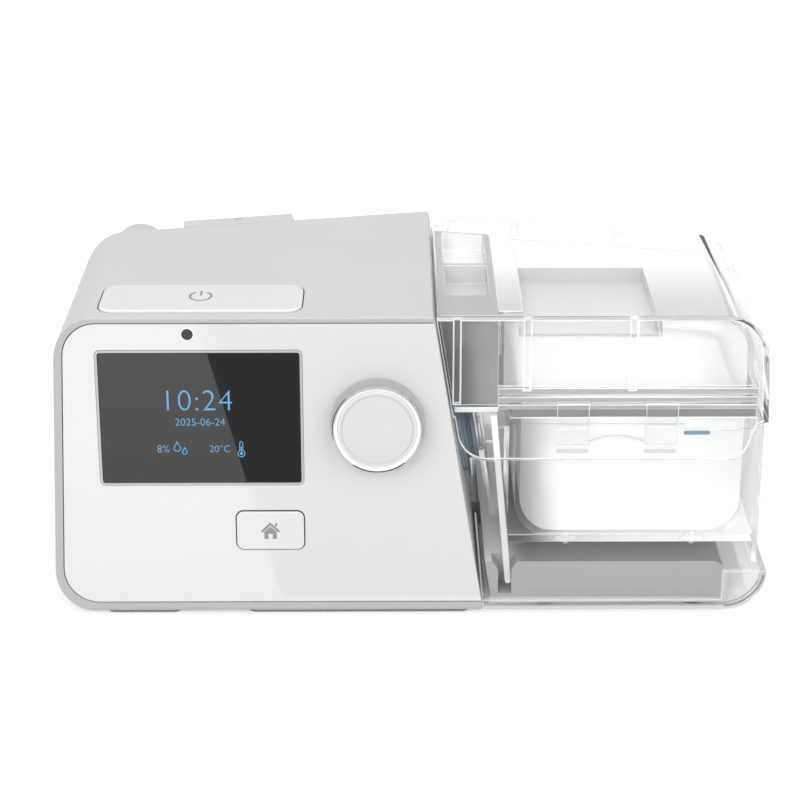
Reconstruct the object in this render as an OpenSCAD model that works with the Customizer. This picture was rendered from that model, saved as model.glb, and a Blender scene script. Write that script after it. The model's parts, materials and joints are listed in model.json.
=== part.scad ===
// Bilevel breathing machine with a docked humidifier, built as its separate pieces.
// Origin: centre of the footprint on the table. +X is the humidifier side, +Y the back, +Z up.

/* [Whole machine] */
// Width over both halves
overall_w = 265; // [255:1:280]
// Depth from the foot of the front face to the tip of the air outlet
overall_d = 145; // [142:1:155]
// Height from the table to the top of the power button
overall_h = 114; // [110:1:120]
// Depth of the body alone, to the ridge of its back
body_d = 125.7; // [123:0.1:130]
// Height of the rubber feet
foot_h = 1.5; // [1:0.1:2.5]
// Backward lean of the front face, in degrees
front_lean = 10.3; // [8:0.1:12]
// Outward flare of the sides towards the table, in degrees
side_flare = 2.6; // [1.5:0.1:3.5]
// Turn of the main unit's back face in plan, in degrees
main_turn = 10.3; // [8:0.1:12]
// Turn of the humidifier's back face in plan, in degrees
hum_turn = 10.8; // [8:0.1:12]
// How far the humidifier's back lies in front of the main unit's
back_step = 1.4; // [1:0.5:5]
// Radius of the lower side edges
base_r = 16; // [12:0.5:20]
// Radius of the upper side edges
top_r = 15.5; // [12:0.5:18]
// Radius of the upright back corners
rear_r = 20; // [15:1:25]

/* [Shells] */
// Wall thickness of the opaque casing
wall_t = 2.2; // [1.8:0.1:2.8]
// Floor thickness of the opaque casing
floor_t = 3; // [2.6:0.1:3.6]
// Wall thickness of the clear lid
lid_t = 1.9; // [1.6:0.1:2.2]
// Wall thickness of the clear tank
tank_t = 2; // [1.6:0.1:2.4]

/* [Seam between the halves] */
// Place of the seam at the height of the roof
seam_top_x = 8; // [4:0.5:12]
// Slant of the seam, in degrees
seam_lean = 9.66; // [8:0.1:11]
// Gap between the two halves
seam_gap = 0.8; // [0.4:0.1:1.2]

/* [Front panel] */
// Width of the grey rim at the side
rim_side = 3.3; // [2.5:0.1:5]
// Width of the grey rim above the panel
rim_top = 2.3; // [2:0.1:4]
// Width of the grey rim below the panel
rim_bottom = 4.2; // [3:0.1:6]
// Thickness of the glossy panel
panel_t = 2.4; // [2:0.1:3]
// Gap round the panel
panel_gap = 0.4; // [0.3:0.05:0.6]
// Width of the ledge behind the panel
ledge_w = 2.5; // [2:0.1:3.5]

/* [Display] */
// Width of the display glass
display_w = 72.6; // [60:0.2:76]
// Height of the display glass
display_h = 49.2; // [40:0.2:52]
// Display centre across the face
display_u = -76.8; // [-80:0.2:-74]
// Display centre up the face
display_v = 75.9; // [74:0.1:78]
// Width of the thin frame round the glass
bezel_w = 1; // [0.6:0.1:1.6]
// Radius of the light sensor
sensor_r = 2; // [1.5:0.1:2.4]
// Light sensor across the face
sensor_u = -80.5; // [-100:0.5:-60]
// Light sensor up the face
sensor_v = 107.4; // [106.5:0.1:108]

/* [Home button] */
// Width of the opening for the home button
home_w = 25.6; // [20:0.2:30]
// Height of the opening for the home button
home_h = 15.6; // [12:0.2:18]
// Home button across the face
home_u = -52.2; // [-60:0.2:-45]
// Home button up the face
home_v = 32.7; // [28:0.1:36]
// Travel of the home button
home_travel = 0.6; // [0.3:0.1:0.8]

/* [Knob] */
// Radius of the knob
knob_r = 16.4; // [14:0.1:18]
// Height of the knob above the face
knob_rise = 9.6; // [8:0.1:12]
// Radius of the white disc
knob_disc_r = 13; // [11:0.1:14]
// Knob axis across the face
knob_u = -12.5; // [-16:0.5:-10]
// Knob axis up the face
knob_v = 74.2; // [70:0.1:78]
// Push travel of the knob
knob_travel = 1; // [0.5:0.1:1.1]
// Radius of the knob's shaft
shaft_r = 3; // [2.5:0.1:3.2]

/* [Power button] */
// Width of the power button
power_w = 73.5; // [60:0.5:76]
// Depth of the power button
power_d = 23.8; // [18:0.2:26]
// Power button centre across the roof
power_x = -76.5; // [-80:0.5:-72]
// Distance of the button's front edge from the front edge of the roof
power_set = 4.8; // [4:0.1:8]
// How far the button stands above the roof
power_rise = 0.8; // [0.4:0.1:1.2]
// Travel of the power button
power_travel = 0.8; // [0.4:0.1:0.9]
// Clear gap round both buttons
button_gap = 0.45; // [0.3:0.05:0.7]

/* [Air outlet] */
// Outer radius of the 22 mm male outlet
outlet_r = 11; // [10.5:0.1:11.5]
// Inner radius of the outlet
outlet_bore_r = 9; // [8:0.1:9.5]
// Radius of the collar at the outlet's root
collar_r = 13.3; // [12.8:0.1:14.5]
// Length of the collar outside the casing
collar_len = 15; // [12:0.5:18]
// Height of the outlet's axis
outlet_z = 89.8; // [88.4:0.2:90]
// Outlet's axis across the machine
outlet_x = -113; // [-114:0.5:-110]

/* [Filter] */
// Width of the filter cover
cover_w = 44.2; // [40:0.2:46]
// Height of the filter cover
cover_h = 48; // [47:0.5:48.5]
// Distance of the cover's middle from the seam, along the back
cover_u = 77.5; // [75:0.5:79]
// How far the cover stands out
cover_out = 9; // [8:0.1:10]
// Depth of the filter bay
bay_d = 16; // [14:0.5:18]
// Thickness of the filter pad
pad_t = 7; // [5:0.5:8]

/* [Ports to the humidifier] */
// Radius of the two air ports
port_r = 9; // [8:0.1:10]
// Height of the ports
port_z = 53; // [51:0.5:55]
// Front port along the depth
port_front_y = -22; // [-24:0.5:-20]
// Rear port along the depth
port_rear_y = 12; // [10:0.5:14]
// Thickness of the blue seal, seam to tank
seal_reach = 7.2; // [6:0.1:7.4]

/* [Humidifier] */
// Height of the grey base's top
base_top = 19.5; // [18:0.5:21]
// Height of the clear rim along the foot
rim_h = 4.4; // [3.5:0.1:6]
// Height of the clear corner at the side
corner_h = 15.5; // [13:0.5:17]
// Height of the lid's lower front edge
lid_front_z = 60; // [56:0.5:66]
// Height of the lid's lower side edge
lid_side_z = 74; // [73:0.5:78]
// Height of the lid's hinge axis
hinge_z = 98; // [96:0.5:99]
// Distance of the hinge axis from the back face
hinge_in = 4.2; // [4:0.1:5]
// Radius of the hinge barrels
barrel_r = 2.1; // [1.9:0.05:2.2]
// Radius of the hinge pin
pin_r = 0.9; // [0.8:0.05:1]

/* [Tank] */
// Underside of the tank's floor
tank_floor_z = 26; // [25:0.5:28]
// Top of the lower tank's flange
tank_split_z = 74; // [72:0.5:75]
// Top of the upper tank
tank_top_z = 109.4; // [107:0.1:109.6]
// Distance of the tank's front from the front face
tank_front_in = 4.8; // [4.5:0.1:6]
// Distance of the tank's back from the back face
tank_back_in = 8; // [7.8:0.1:10]
// Left wall of the lower tank
tank_left_x = 36; // [34:0.5:38]

/* [Hidden] */
$fn = 64;

// Step of an arc in an outline, in degrees
arc_step = 7.5;
// Length that is more than any piece
far = 400;
// Radius of the edge between roof and front face
edge_r = 1.6;
// Running gap between pieces that only come near each other
air = 0.3;

// Heights and depths that follow from the whole machine
roof_z = overall_h - power_rise;
front_foot_y = -overall_d / 2;
ridge_y = front_foot_y + body_d;
hum_back_y = ridge_y - back_step;
foot_half_w = overall_w / 2 + base_r * (tan(side_flare) + 1 / cos(side_flare) - 1);
face_h = (roof_z - foot_h) / cos(front_lean);

// Planes of the body, each moved inward by g
function front_y(z, g = 0) = front_foot_y + (z - foot_h) * tan(front_lean) + g / cos(front_lean);
function side_x(z, g = 0) = foot_half_w - (z - foot_h) * tan(side_flare) - g / cos(side_flare);
function seam_x(z) = seam_top_x + (overall_h - z) * tan(seam_lean);
function main_back_y(x, g = 0) = ridge_y - (seam_top_x - x) * tan(main_turn) - g / cos(main_turn);
function hum_back_at(x, g = 0) = hum_back_y - (x - seam_top_x) * tan(hum_turn) - g / cos(hum_turn);
function face_z(v) = foot_h + v * cos(front_lean);

// Rounded outlines: each corner is [x, y, radius]
function unit(v) = v / norm(v);
function flat(p) = [p[0], p[1]];
function wrap(a) = a > 180 ? a - 360 : a < -180 ? a + 360 : a;
function corner_arc(a, b, c, r) =
    r <= 0 ? [b] :
    let (
        to_a = unit(a - b),
        to_c = unit(c - b),
        half = acos(to_a * to_c) / 2,
        middle = b + unit(to_a + to_c) * r / sin(half),
        p1 = b + to_a * r / tan(half) - middle,
        p2 = b + to_c * r / tan(half) - middle,
        start = atan2(p1[1], p1[0]),
        sweep = wrap(atan2(p2[1], p2[0]) - start),
        steps = max(2, ceil(abs(sweep) / arc_step))
    )
    [for (i = [0 : steps]) middle + r * [cos(start + sweep * i / steps), sin(start + sweep * i / steps)]];
function rounded(corners) =
    let (n = len(corners))
    [for (i = [0 : n - 1])
        each corner_arc(
            flat(corners[(i + n - 1) % n]), flat(corners[i]), flat(corners[(i + 1) % n]), corners[i][2]
        )];
function box_corners(w, h, r) =
    [[-w / 2, -h / 2, r], [w / 2, -h / 2, r], [w / 2, h / 2, r], [-w / 2, h / 2, r]];
module rounded_box(w, h, r) polygon(rounded(box_corners(w, h, r)));

// Frames that pieces are drawn in
// Front face: x across, y up the face, z out of it
module on_face() translate([0, front_foot_y, foot_h]) rotate([90 - front_lean, 0, 0]) children();
// Main unit's back: x away from the seam, y up, z out of it
module on_back() translate([seam_top_x, ridge_y, 0]) rotate([90, 0, 180 + main_turn]) children();
// Air outlet: z along its axis, out of the back
module on_outlet() translate([outlet_x, main_back_y(outlet_x), outlet_z]) rotate([-90, 0, 0]) children();
// Humidifier's back: x is minus the distance from the seam, y up, z out of it
module on_hum_back() translate([seam_top_x, hum_back_y, 0]) rotate([90, 0, 180 - hum_turn]) children();
// Seam at the height of the ports: x down the slant, y to the back, z towards the humidifier
module on_seam() translate([seam_x(port_z), 0, port_z]) rotate([0, 90 - seam_lean, 0]) children();
// Outline in x and z, drawn from y0 to y1
module along_y(y0, y1) translate([0, y1, 0]) rotate([90, 0, 0]) linear_extrude(y1 - y0) children();
// Outline in y and z, drawn from x0 to x1
module along_x(x0, x1) translate([x0, 0, 0]) rotate([90, 0, 90]) linear_extrude(x1 - x0) children();
// Outline in depth and height inside a frame of the back, drawn along the back
module along_back(len) translate([len, 0, 0]) rotate([0, -90, 0]) linear_extrude(len) children();

// Plan of both halves, moved inward by g
plan_half = overall_w / 2 + 1;
module main_plan(g, back_g) polygon(rounded([
    [-plan_half + g, -far, 0],
    [far, -far, 0],
    [far, ridge_y - back_g - (far - seam_top_x) * tan(hum_turn), 0],
    [seam_top_x, main_back_y(seam_top_x, back_g), 8],
    [-plan_half + g, main_back_y(-plan_half + g, back_g), rear_r - g]
]));
module hum_plan(g, back_g) polygon(rounded([
    [-far, -far, 0],
    [plan_half - g, -far, 0],
    [plan_half - g, hum_back_at(plan_half - g, back_g), max(2, rear_r - back_g)],
    [-far, hum_back_at(-far, back_g), 0]
]));

// Front view of both halves, sides moved inward by g and the seam side by s
module main_section(z0, z1, g, s) polygon(rounded([
    [-side_x(z0, g), z0, base_r - g],
    [seam_x(z0) - s, z0, 1],
    [seam_x(z1) - s, z1, 1],
    [-side_x(z1, g), z1, top_r - g]
]));
module hum_section(z0, z1, g, s, low_r) polygon(rounded([
    [seam_x(z0) + s, z0, 0.8],
    [side_x(z0, g), z0, low_r],
    [side_x(z1, g), z1, top_r - g],
    [seam_x(z1) + s, z1, 0.8]
]));

// Side view, cut only by the leaning front
module front_cut(g, r) polygon(rounded([
    [front_y(foot_h, g), foot_h, r],
    [far, foot_h, 0],
    [far, roof_z, 0],
    [front_y(roof_z, g), roof_z, r]
]));
module behind_front(g) polygon([
    [front_y(-far, g), -far], [far, -far], [far, far], [front_y(far, g), far]
]);

module main_block() intersection() {
    along_y(-far, far) main_section(foot_h, roof_z, 0, seam_gap / 2);
    linear_extrude(far) main_plan(0, 0);
    along_x(-far, far) front_cut(0, edge_r);
}
module main_room(g, front_g, low_z) intersection() {
    along_y(-far, far) main_section(low_z, roof_z - g, g, seam_gap / 2 + g);
    linear_extrude(far) main_plan(g, g);
    along_x(-far, far) behind_front(front_g);
}
module hum_block() intersection() {
    along_y(-far, far) hum_section(foot_h, roof_z, 0, seam_gap / 2, base_r);
    linear_extrude(far) hum_plan(0, 0);
    along_x(-far, far) front_cut(0, edge_r);
}
module hum_room(g, front_g, back_g, z0, z1) intersection() {
    along_y(-far, far) hum_section(z0, z1, g, seam_gap / 2 + g, base_r - g);
    linear_extrude(far) hum_plan(g, back_g);
    along_x(-far, far) behind_front(front_g);
}

// Main casing
casing_grey = "gainsboro";
panel_v0 = rim_bottom;
panel_v1 = face_h - rim_top;
ledge_t = 2;
// Front panel outline on the face, grown by g and cut off at the seam with s
function panel_side(v, g) = -side_x(face_z(v)) + rim_side - g;
module panel_outline(g, s) polygon(rounded([
    [panel_side(panel_v0 - g, g), panel_v0 - g, base_r - rim_side + g],
    [seam_x(face_z(panel_v0 - g)) - s, panel_v0 - g, 0],
    [seam_x(face_z(panel_v1 + g)) - s, panel_v1 + g, 0],
    [panel_side(panel_v1 + g, g), panel_v1 + g, top_r - rim_side + g]
]));

// Underside opening: outline of the bottom cover in plan, moved inward by g
under_in = 14;
module cover_plan(g) polygon(rounded([
    [-overall_w / 2 + base_r + 3 + g, front_foot_y + 9 + g, 6],
    [seam_x(foot_h) - 10 - g, front_foot_y + 9 + g, 6],
    [seam_x(foot_h) - 10 - g, main_back_y(seam_top_x, under_in) - 4 - g, 6],
    [-overall_w / 2 + base_r + 3 + g, main_back_y(-overall_w / 2 + base_r + 3, under_in) - g, 6]
]));
cover_rim = 8;
cover_step = 1.8;
screw_inset = 4;
screw_r = 1.2;
screw_xs = [-overall_w / 2 + base_r + 3 + screw_inset, seam_x(foot_h) - 10 - screw_inset];
function screw_back_y(x) = x < -50
    ? main_back_y(-overall_w / 2 + base_r + 3, under_in) - screw_inset - 1
    : main_back_y(seam_top_x, under_in) - 4 - screw_inset;
screw_spots = [for (x = screw_xs) each [
    [x, front_foot_y + 9 + screw_inset], [x, screw_back_y(x)]
]];
boss_r = 3.4;
boss_top = 13;

power_y = front_y(roof_z) + power_set + power_d / 2;
power_corner_r = 5.4;
bay_gap = 2;
bay_w = cover_w - 2 * bay_gap;
cover_top = roof_z;
cover_corner_r = 3.5;
cover_low = cover_top - cover_h;
bay_z0 = cover_low + bay_gap;
bay_z1 = roof_z - wall_t - 3;
bay_wall = 1.8;
bay_hole_r = 8.5;
bay_hole_z = bay_z0 + bay_hole_r + 1.5;
// Cover hinge, measured from the back face
cover_hinge_w = 2.4;
cover_hinge_z = cover_low + 2;
cover_pin_r = 1;
ear_t = 2.6;
dc_u = 36;
dc_z = 24;
dc_r = 5.5;
dc_bore_r = 3.1;
card_u = 106;
card_z = 24;
card_w = 28;
card_h = 8;
card_t = 1.6;
dock_z = 14;
dock_y = -6;
dock_w = 26;
dock_h = 9;

module bay_void() on_back()
    translate([cover_u, (bay_z0 + bay_z1) / 2, -bay_d])
        linear_extrude(bay_d + 10) rounded_box(bay_w, bay_z1 - bay_z0, 2);
module bay_box() on_back()
    translate([cover_u, (bay_z0 + bay_z1) / 2, -bay_d - bay_wall])
        linear_extrude(bay_d + bay_wall - 0.5)
            rounded_box(bay_w + 2 * bay_wall, bay_z1 - bay_z0 + 2 * bay_wall, 3);

post_y = power_y + power_d / 2 + 4.5;
post_xs = [power_x - 12, power_x + 12];
board_z = roof_z - 12.5;
post_r = 2.4;

// The casing is moulded in four pieces that meet at its inner edges: hood, back, seam wall and floor
back_depth = rear_r + 2;
hood_z = roof_z - wall_t - 0.6;
module casing_shell() difference() {
    main_block();
    main_room(wall_t, panel_t + ledge_t, foot_h + floor_t);
}
// Where each of the other three pieces lies, grown by g; they stay one split apart
split = 0.05;
module floor_side(g) translate([-overall_w / 2 + base_r - 1 - g, front_foot_y + 5 - g, -1])
    cube([far, far, foot_h + floor_t + 1 + g]);
module seam_side(g) intersection() {
    along_y(-far, far) polygon([
        [seam_x(0) - wall_t - 2 - g, foot_h + floor_t + split - g], [far, foot_h + floor_t + split - g],
        [far, hood_z - 1 + g], [seam_x(overall_h) - wall_t - 2 - g, hood_z - 1 + g]
    ]);
    along_x(-far, far) behind_front(panel_t + ledge_t - 1 + split - g);
    linear_extrude(far) main_plan(0, wall_t / 2 + split - g);
}
module back_side(g) difference() {
    on_back() translate([-far, -far, -back_depth - g]) cube([2 * far, far + hood_z + g, 2 * far]);
    floor_side(split - g);
    seam_side(split - g);
}
module main_casing() color(casing_grey) difference() {
    union() {
        difference() {
            casing_shell();
            floor_side(split);
            seam_side(split);
            back_side(split);
        }
        for (x = post_xs) translate([x, post_y, board_z])
            cylinder(r = post_r, h = roof_z - wall_t - board_z + 0.5);
    }
    on_face() {
        translate([0, 0, -panel_t]) linear_extrude(20) panel_outline(panel_gap, -20);
        translate([0, 0, -20]) linear_extrude(30) panel_outline(-ledge_w, seam_gap / 2 + wall_t);
    }
    translate([power_x, power_y, roof_z - 5])
        linear_extrude(10)
            rounded_box(power_w + 2 * button_gap, power_d + 2 * button_gap, power_corner_r + button_gap);
    for (x = post_xs) translate([x, post_y, board_z - 1]) cylinder(r = 0.8, h = 8);
}
module casing_floor() color(casing_grey) difference() {
    union() {
        intersection() {
            casing_shell();
            floor_side(0);
        }
        for (p = screw_spots) translate([p[0], p[1], foot_h + cover_step])
            cylinder(r = boss_r, h = boss_top - foot_h - cover_step);
    }
    translate([0, 0, -1]) linear_extrude(foot_h + floor_t + 2) cover_plan(cover_rim);
    translate([0, 0, -1]) linear_extrude(foot_h + cover_step + 1) cover_plan(0);
    for (p = screw_spots) translate([p[0], p[1], 0]) cylinder(r = screw_r + 0.1, h = boss_top - 1.5);
}
module seam_wall() color(casing_grey) difference() {
    intersection() {
        casing_shell();
        seam_side(0);
    }
    on_seam() for (y = [port_front_y, port_rear_y])
        translate([0, y, -10]) cylinder(r = port_r, h = 20);
    translate([seam_x(dock_z) - 12, dock_y - dock_w / 2 - 0.2, dock_z - dock_h / 2 - 0.2])
        cube([20, dock_w + 0.4, dock_h + 0.4]);
}
module rear_casing() color(casing_grey) difference() {
    union() {
        intersection() {
            casing_shell();
            back_side(0);
        }
        bay_box();
        on_back() for (s = [-1, 1])
            translate([cover_u + s * (cover_w / 2 + air + ear_t / 2), cover_hinge_z, -1])
                translate([-ear_t / 2, -2.4, 0]) cube([ear_t, 4.8, cover_hinge_w + 3.2]);
    }
    bay_void();
    on_outlet() translate([0, 0, -20]) cylinder(r = outlet_in_r + 0.1, h = 60);
    on_back() {
        translate([cover_u, bay_hole_z, -bay_d - 5]) cylinder(r = bay_hole_r, h = 10);
        translate([dc_u, dc_z, -10]) cylinder(r = dc_r + 0.1, h = 20);
        translate([cover_u, cover_hinge_z, cover_hinge_w])
            rotate([0, 90, 0]) cylinder(r = cover_pin_r + 0.1, h = cover_w + 20, center = true);
        translate([card_u, card_z, -card_t - 0.4])
            linear_extrude(10) rounded_box(card_w + 0.8, card_h + 0.8, 1.2);
        translate([card_u, card_z, -6]) linear_extrude(10) rounded_box(card_w - 4, 3.4, 0.5);
    }
}

module bottom_cover() color("gray") difference() {
    union() {
        translate([0, 0, foot_h]) linear_extrude(cover_step - air) cover_plan(air);
        translate([0, 0, foot_h]) linear_extrude(floor_t) cover_plan(cover_rim + air);
    }
    for (p = screw_spots) translate([p[0], p[1], 0]) {
        cylinder(r = screw_r + 0.15, h = 10);
        cylinder(r = 2.5, h = foot_h + 0.8);
    }
    // Cooling slots under the blower
    for (i = [-4 : 4]) translate([blower_x + 45 + i * 5, blower_y - 20, 0])
        linear_extrude(10) rounded_box(2, 26, 1);
}

module cover_screws() color("silver") for (p = screw_spots) translate([p[0], p[1], foot_h]) {
    difference() {
        union() {
            translate([0, 0, 0.1]) cylinder(r = 2.3, h = 0.7);
            translate([0, 0, 0.5]) cylinder(r = screw_r, h = 8);
        }
        translate([-1.4, -0.25, 0]) cube([2.8, 0.5, 0.5]);
        translate([-0.25, -1.4, 0]) cube([0.5, 2.8, 0.5]);
    }
}

// Front panel and what sits in it
window_r = 1;
module front_panel() color("white") on_face() difference() {
    translate([0, 0, -panel_t + 0.05]) linear_extrude(panel_t - 0.05) panel_outline(0, seam_gap / 2);
    translate([display_u, display_v, -10])
        linear_extrude(20)
            rounded_box(display_w + 2 * bezel_w + 0.2, display_h + 2 * bezel_w + 0.2, window_r + bezel_w);
    translate([home_u, home_v, -10]) linear_extrude(20) rounded_box(home_w, home_h, 3);
    translate([knob_u, knob_v, -10]) cylinder(r = shaft_r + 0.6, h = 20);
    translate([sensor_u, sensor_v, -10]) cylinder(r = sensor_r + 0.1, h = 20);
}

frame_depth = panel_t - 0.1;
module display_frame() color("lightgray") on_face() translate([display_u, display_v, 0]) difference() {
    translate([0, 0, -frame_depth])
        linear_extrude(frame_depth + 0.1)
            rounded_box(display_w + 2 * bezel_w, display_h + 2 * bezel_w, window_r + bezel_w - 0.1);
    translate([0, 0, -1.6]) linear_extrude(5) rounded_box(display_w + 0.2, display_h + 0.2, window_r);
    translate([0, 0, -5]) linear_extrude(10) rounded_box(display_w - 3, display_h - 3, window_r);
}
module display_window() color("black") on_face() translate([display_u, display_v, -1.55])
    linear_extrude(1.45) rounded_box(display_w, display_h, window_r);
lcd_t = 3.4;
module display_panel() color("darkslategray") on_face()
    translate([display_u, display_v, -panel_t - 0.05 - lcd_t]) union() {
        linear_extrude(lcd_t) rounded_box(display_w + 3.4, display_h + 3.4, 1);
        translate([0, 0, -1.2]) linear_extrude(1.2) rounded_box(display_w - 6, display_h - 6, 1);
    }
module light_sensor() color("dimgray") on_face() translate([sensor_u, sensor_v, 0]) {
    translate([0, 0, -panel_t]) cylinder(r = sensor_r, h = panel_t - 0.1);
}

board_w = 12;
board_t = 1.6;
module main_board() color("darkgreen") on_face() union() {
    difference() {
        translate([0, 0, -board_w - board_t]) linear_extrude(board_t) polygon(rounded([
            [-116, 16, 2], [2, 16, 2], [2, 105, 2], [-116, 105, 2]
        ]));
        for (u = [-112, -2], v = [20, 101]) translate([u, v, -board_w - 5]) cylinder(r = 1.6, h = 10);
    }
    // Home switch and its neighbours on the front of the board
    translate([home_u, home_v, -board_w]) {
        linear_extrude(2) rounded_box(6.2, 6.2, 0.4);
        cylinder(r = 1.7, h = 3.2);
    }
    // Stand-off pillar under the display
    for (s = [-1, 1]) translate([display_u + s * 30, display_v, -board_w])
        cylinder(r = 2.5, h = board_w - panel_t - 1.3 - lcd_t);
    // Chips and connectors on the back of the board
    for (c = [[-96, 84, 14, 14], [-70, 60, 20, 20], [-34, 60, 10, 16], [-40, 92, 24, 7]])
        translate([c[0], c[1], -board_w - board_t - 2]) linear_extrude(2) rounded_box(c[2], c[3], 0.5);
}

encoder_h = 6;
module encoder() color("slategray") on_face() translate([knob_u, knob_v, -board_w]) difference() {
    union() {
        linear_extrude(encoder_h - 1.5) rounded_box(12, 12, 1);
        cylinder(r = shaft_r + 1, h = encoder_h + 1.5);
    }
    translate([0, 0, 0.6]) cylinder(r = shaft_r + 0.08, h = 20);
}
plunger_w = -board_w + 0.6 + knob_travel + 0.2;
module encoder_plunger() color("dimgray") on_face() translate([knob_u, knob_v, plunger_w])
    cylinder(r = shaft_r - 0.1, h = 0.8);

// Knob: the body turns on its shaft, and shaft and plunger are pushed together
knob_low = knob_travel + 0.5;
cap_w = knob_rise - 2.2;
module knob_shaft() color("silver") on_face() translate([knob_u, knob_v, plunger_w + 0.85])
    difference() {
        cylinder(r = shaft_r, h = knob_rise - 3.2 - plunger_w - 0.85);
        translate([1.6, -5, 12]) cube([5, 10, 20]);
    }
module knob_body() color("lightgray") on_face() translate([knob_u, knob_v, 0]) difference() {
    rotate_extrude($fn = 96) polygon([
        [0, knob_low + 1.2], [shaft_r + 2.5, knob_low + 1.2], [shaft_r + 2.5, knob_low],
        [shaft_r + 4, knob_low], [shaft_r + 4, cap_w - 1.8], [knob_r - 2.2, cap_w - 1.8],
        [knob_r - 1.4, knob_low], [knob_r + 0.6, knob_low], [knob_r + 0.5, knob_low + 1],
        [knob_r, cap_w - 0.2], [knob_disc_r + 1.2, cap_w - 0.2], [knob_disc_r + 1.2, cap_w],
        [0, cap_w]
    ]);
    translate([0, 0, -1]) cylinder(r = shaft_r + 0.03, h = knob_rise - 3.2 + 1.1);
}
module knob_ring() color("silver") on_face() translate([knob_u, knob_v, 0])
    rotate_extrude($fn = 96) polygon([
        [knob_disc_r + 1.3, cap_w - 0.1], [knob_r - 0.1, cap_w - 0.1], [knob_r - 0.1, knob_rise - 1.1],
        [knob_r - 0.45, knob_rise - 0.5], [knob_r - 0.95, knob_rise - 0.25],
        [knob_disc_r + 2, knob_rise - 0.35], [knob_disc_r + 1.3, knob_rise - 0.9]
    ]);
module knob_cap() color("white") on_face() translate([knob_u, knob_v, 0])
    rotate_extrude($fn = 96) polygon([
        [0, cap_w + 0.05], [knob_disc_r + 1.2, cap_w + 0.05], [knob_disc_r + 1.2, knob_rise - 0.7],
        [knob_disc_r + 0.9, knob_rise - 0.45], [knob_disc_r + 0.1, knob_rise - 0.45],
        [knob_disc_r, knob_rise - 0.9], [knob_disc_r - 0.3, knob_rise - 0.9],
        [knob_disc_r - 0.5, knob_rise - 0.3], [knob_disc_r - 3, knob_rise - 0.05], [0, knob_rise]
    ]);

home_rise = 0.7;
module home_button() color("ghostwhite") on_face() translate([home_u, home_v, 0]) {
    translate([0, 0, -panel_t]) linear_extrude(panel_t + home_rise)
        rounded_box(home_w - 2 * button_gap, home_h - 2 * button_gap, 3 - button_gap);
    translate([0, 0, -panel_t - 1.2]) linear_extrude(1.2) rounded_box(home_w + 2.4, home_h + 2.4, 3);
    translate([0, 0, -board_w + 3.2 + home_travel + 0.15])
        cylinder(r = 2, h = board_w - panel_t - 3.2 - home_travel - 0.2);
}

flange_z = roof_z - wall_t - 0.25;
module power_button() color("whitesmoke") translate([power_x, power_y, 0]) {
    translate([0, 0, flange_z - 0.1]) linear_extrude(roof_z + power_rise - flange_z - 0.5)
        rounded_box(power_w, power_d, power_corner_r);
    translate([0, 0, roof_z + power_rise - 0.65]) linear_extrude(0.65)
        rounded_box(power_w - 0.8, power_d - 0.8, power_corner_r - 0.4);
    translate([0, 0.75, flange_z - 1.2]) linear_extrude(1.2)
        rounded_box(power_w + 3, power_d + 1.5, power_corner_r + 1);
    translate([0, post_y - power_y - 6, board_z + 3.2 + power_travel + 0.15])
        cylinder(r = 2, h = flange_z - board_z - 3.2 - power_travel - 1);
}
board_gap = 0.05;
module power_board() color("darkgreen") difference() {
    union() {
        translate([power_x, post_y - 5, board_z - 1.2 - board_gap]) linear_extrude(1.2) rounded_box(34, 18, 1.5);
        translate([power_x, post_y - 6, board_z - 1.2 - board_gap]) {
            linear_extrude(3.2) rounded_box(6.2, 6.2, 0.4);
            cylinder(r = 1.7, h = 4.4);
        }
    }
    for (x = post_xs) translate([x, post_y, board_z - 5]) cylinder(r = 1, h = 10);
}

// Blower
blower_x = -60;
blower_y = 5;
volute_r0 = 20;
volute_grow = 15;
volute_h = 22;
volute_z0 = port_z - volute_h / 2;
blade_r = 17;
motor_r = 15;
motor_z0 = 18;
spin_clear = 1;
function volute_r(turn) = volute_r0 + volute_grow * turn / 360;
function volute_line(g) = [for (t = [0 : 7.5 : 360])
    (volute_r(t) - g) * [cos(t - 90), sin(t - 90)]];
chute_w = volute_r(360) - volute_r0 + 2;
module volute_shape(g) translate([blower_x, blower_y]) union() {
    polygon(volute_line(g));
    translate([0, -volute_r(360) + g]) square([40 - g * 0.5, chute_w - 2 * g + 0.01]);
}
module blower_housing() color("dimgray") difference() {
    translate([0, 0, volute_z0]) linear_extrude(volute_h - 3) volute_shape(0);
    translate([0, 0, volute_z0 + 2]) linear_extrude(volute_h) volute_shape(2);
    translate([blower_x, blower_y, volute_z0 - 1]) cylinder(r = 4, h = 10);
    translate([blower_x + 30, port_front_y, port_z]) rotate([0, 90, 0]) cylinder(r = port_r - 2.5, h = 20);
}
module blower_lid() color("gray") difference() {
    union() {
        translate([0, 0, volute_z0 + volute_h - 2.9]) linear_extrude(2) volute_shape(0);
        translate([blower_x, blower_y, volute_z0 + volute_h - 2])
            cylinder(r = bay_hole_r + 2.4, h = 3);
    }
    translate([blower_x, blower_y, volute_z0]) cylinder(r = bay_hole_r, h = volute_h + 10);
}
module blower_motor() color("silver") translate([blower_x, blower_y, 0]) difference() {
    union() {
        translate([0, 0, motor_z0]) cylinder(r = motor_r, h = volute_z0 - motor_z0 - 0.05);
        translate([0, 0, motor_z0 - 1]) cylinder(r = motor_r - 3, h = 2);
    }
    translate([0, 0, motor_z0 + 5]) cylinder(r = 1.56, h = volute_z0);
}
impeller_z0 = volute_z0 + 2 + spin_clear;
blade_h = 9;
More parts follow.
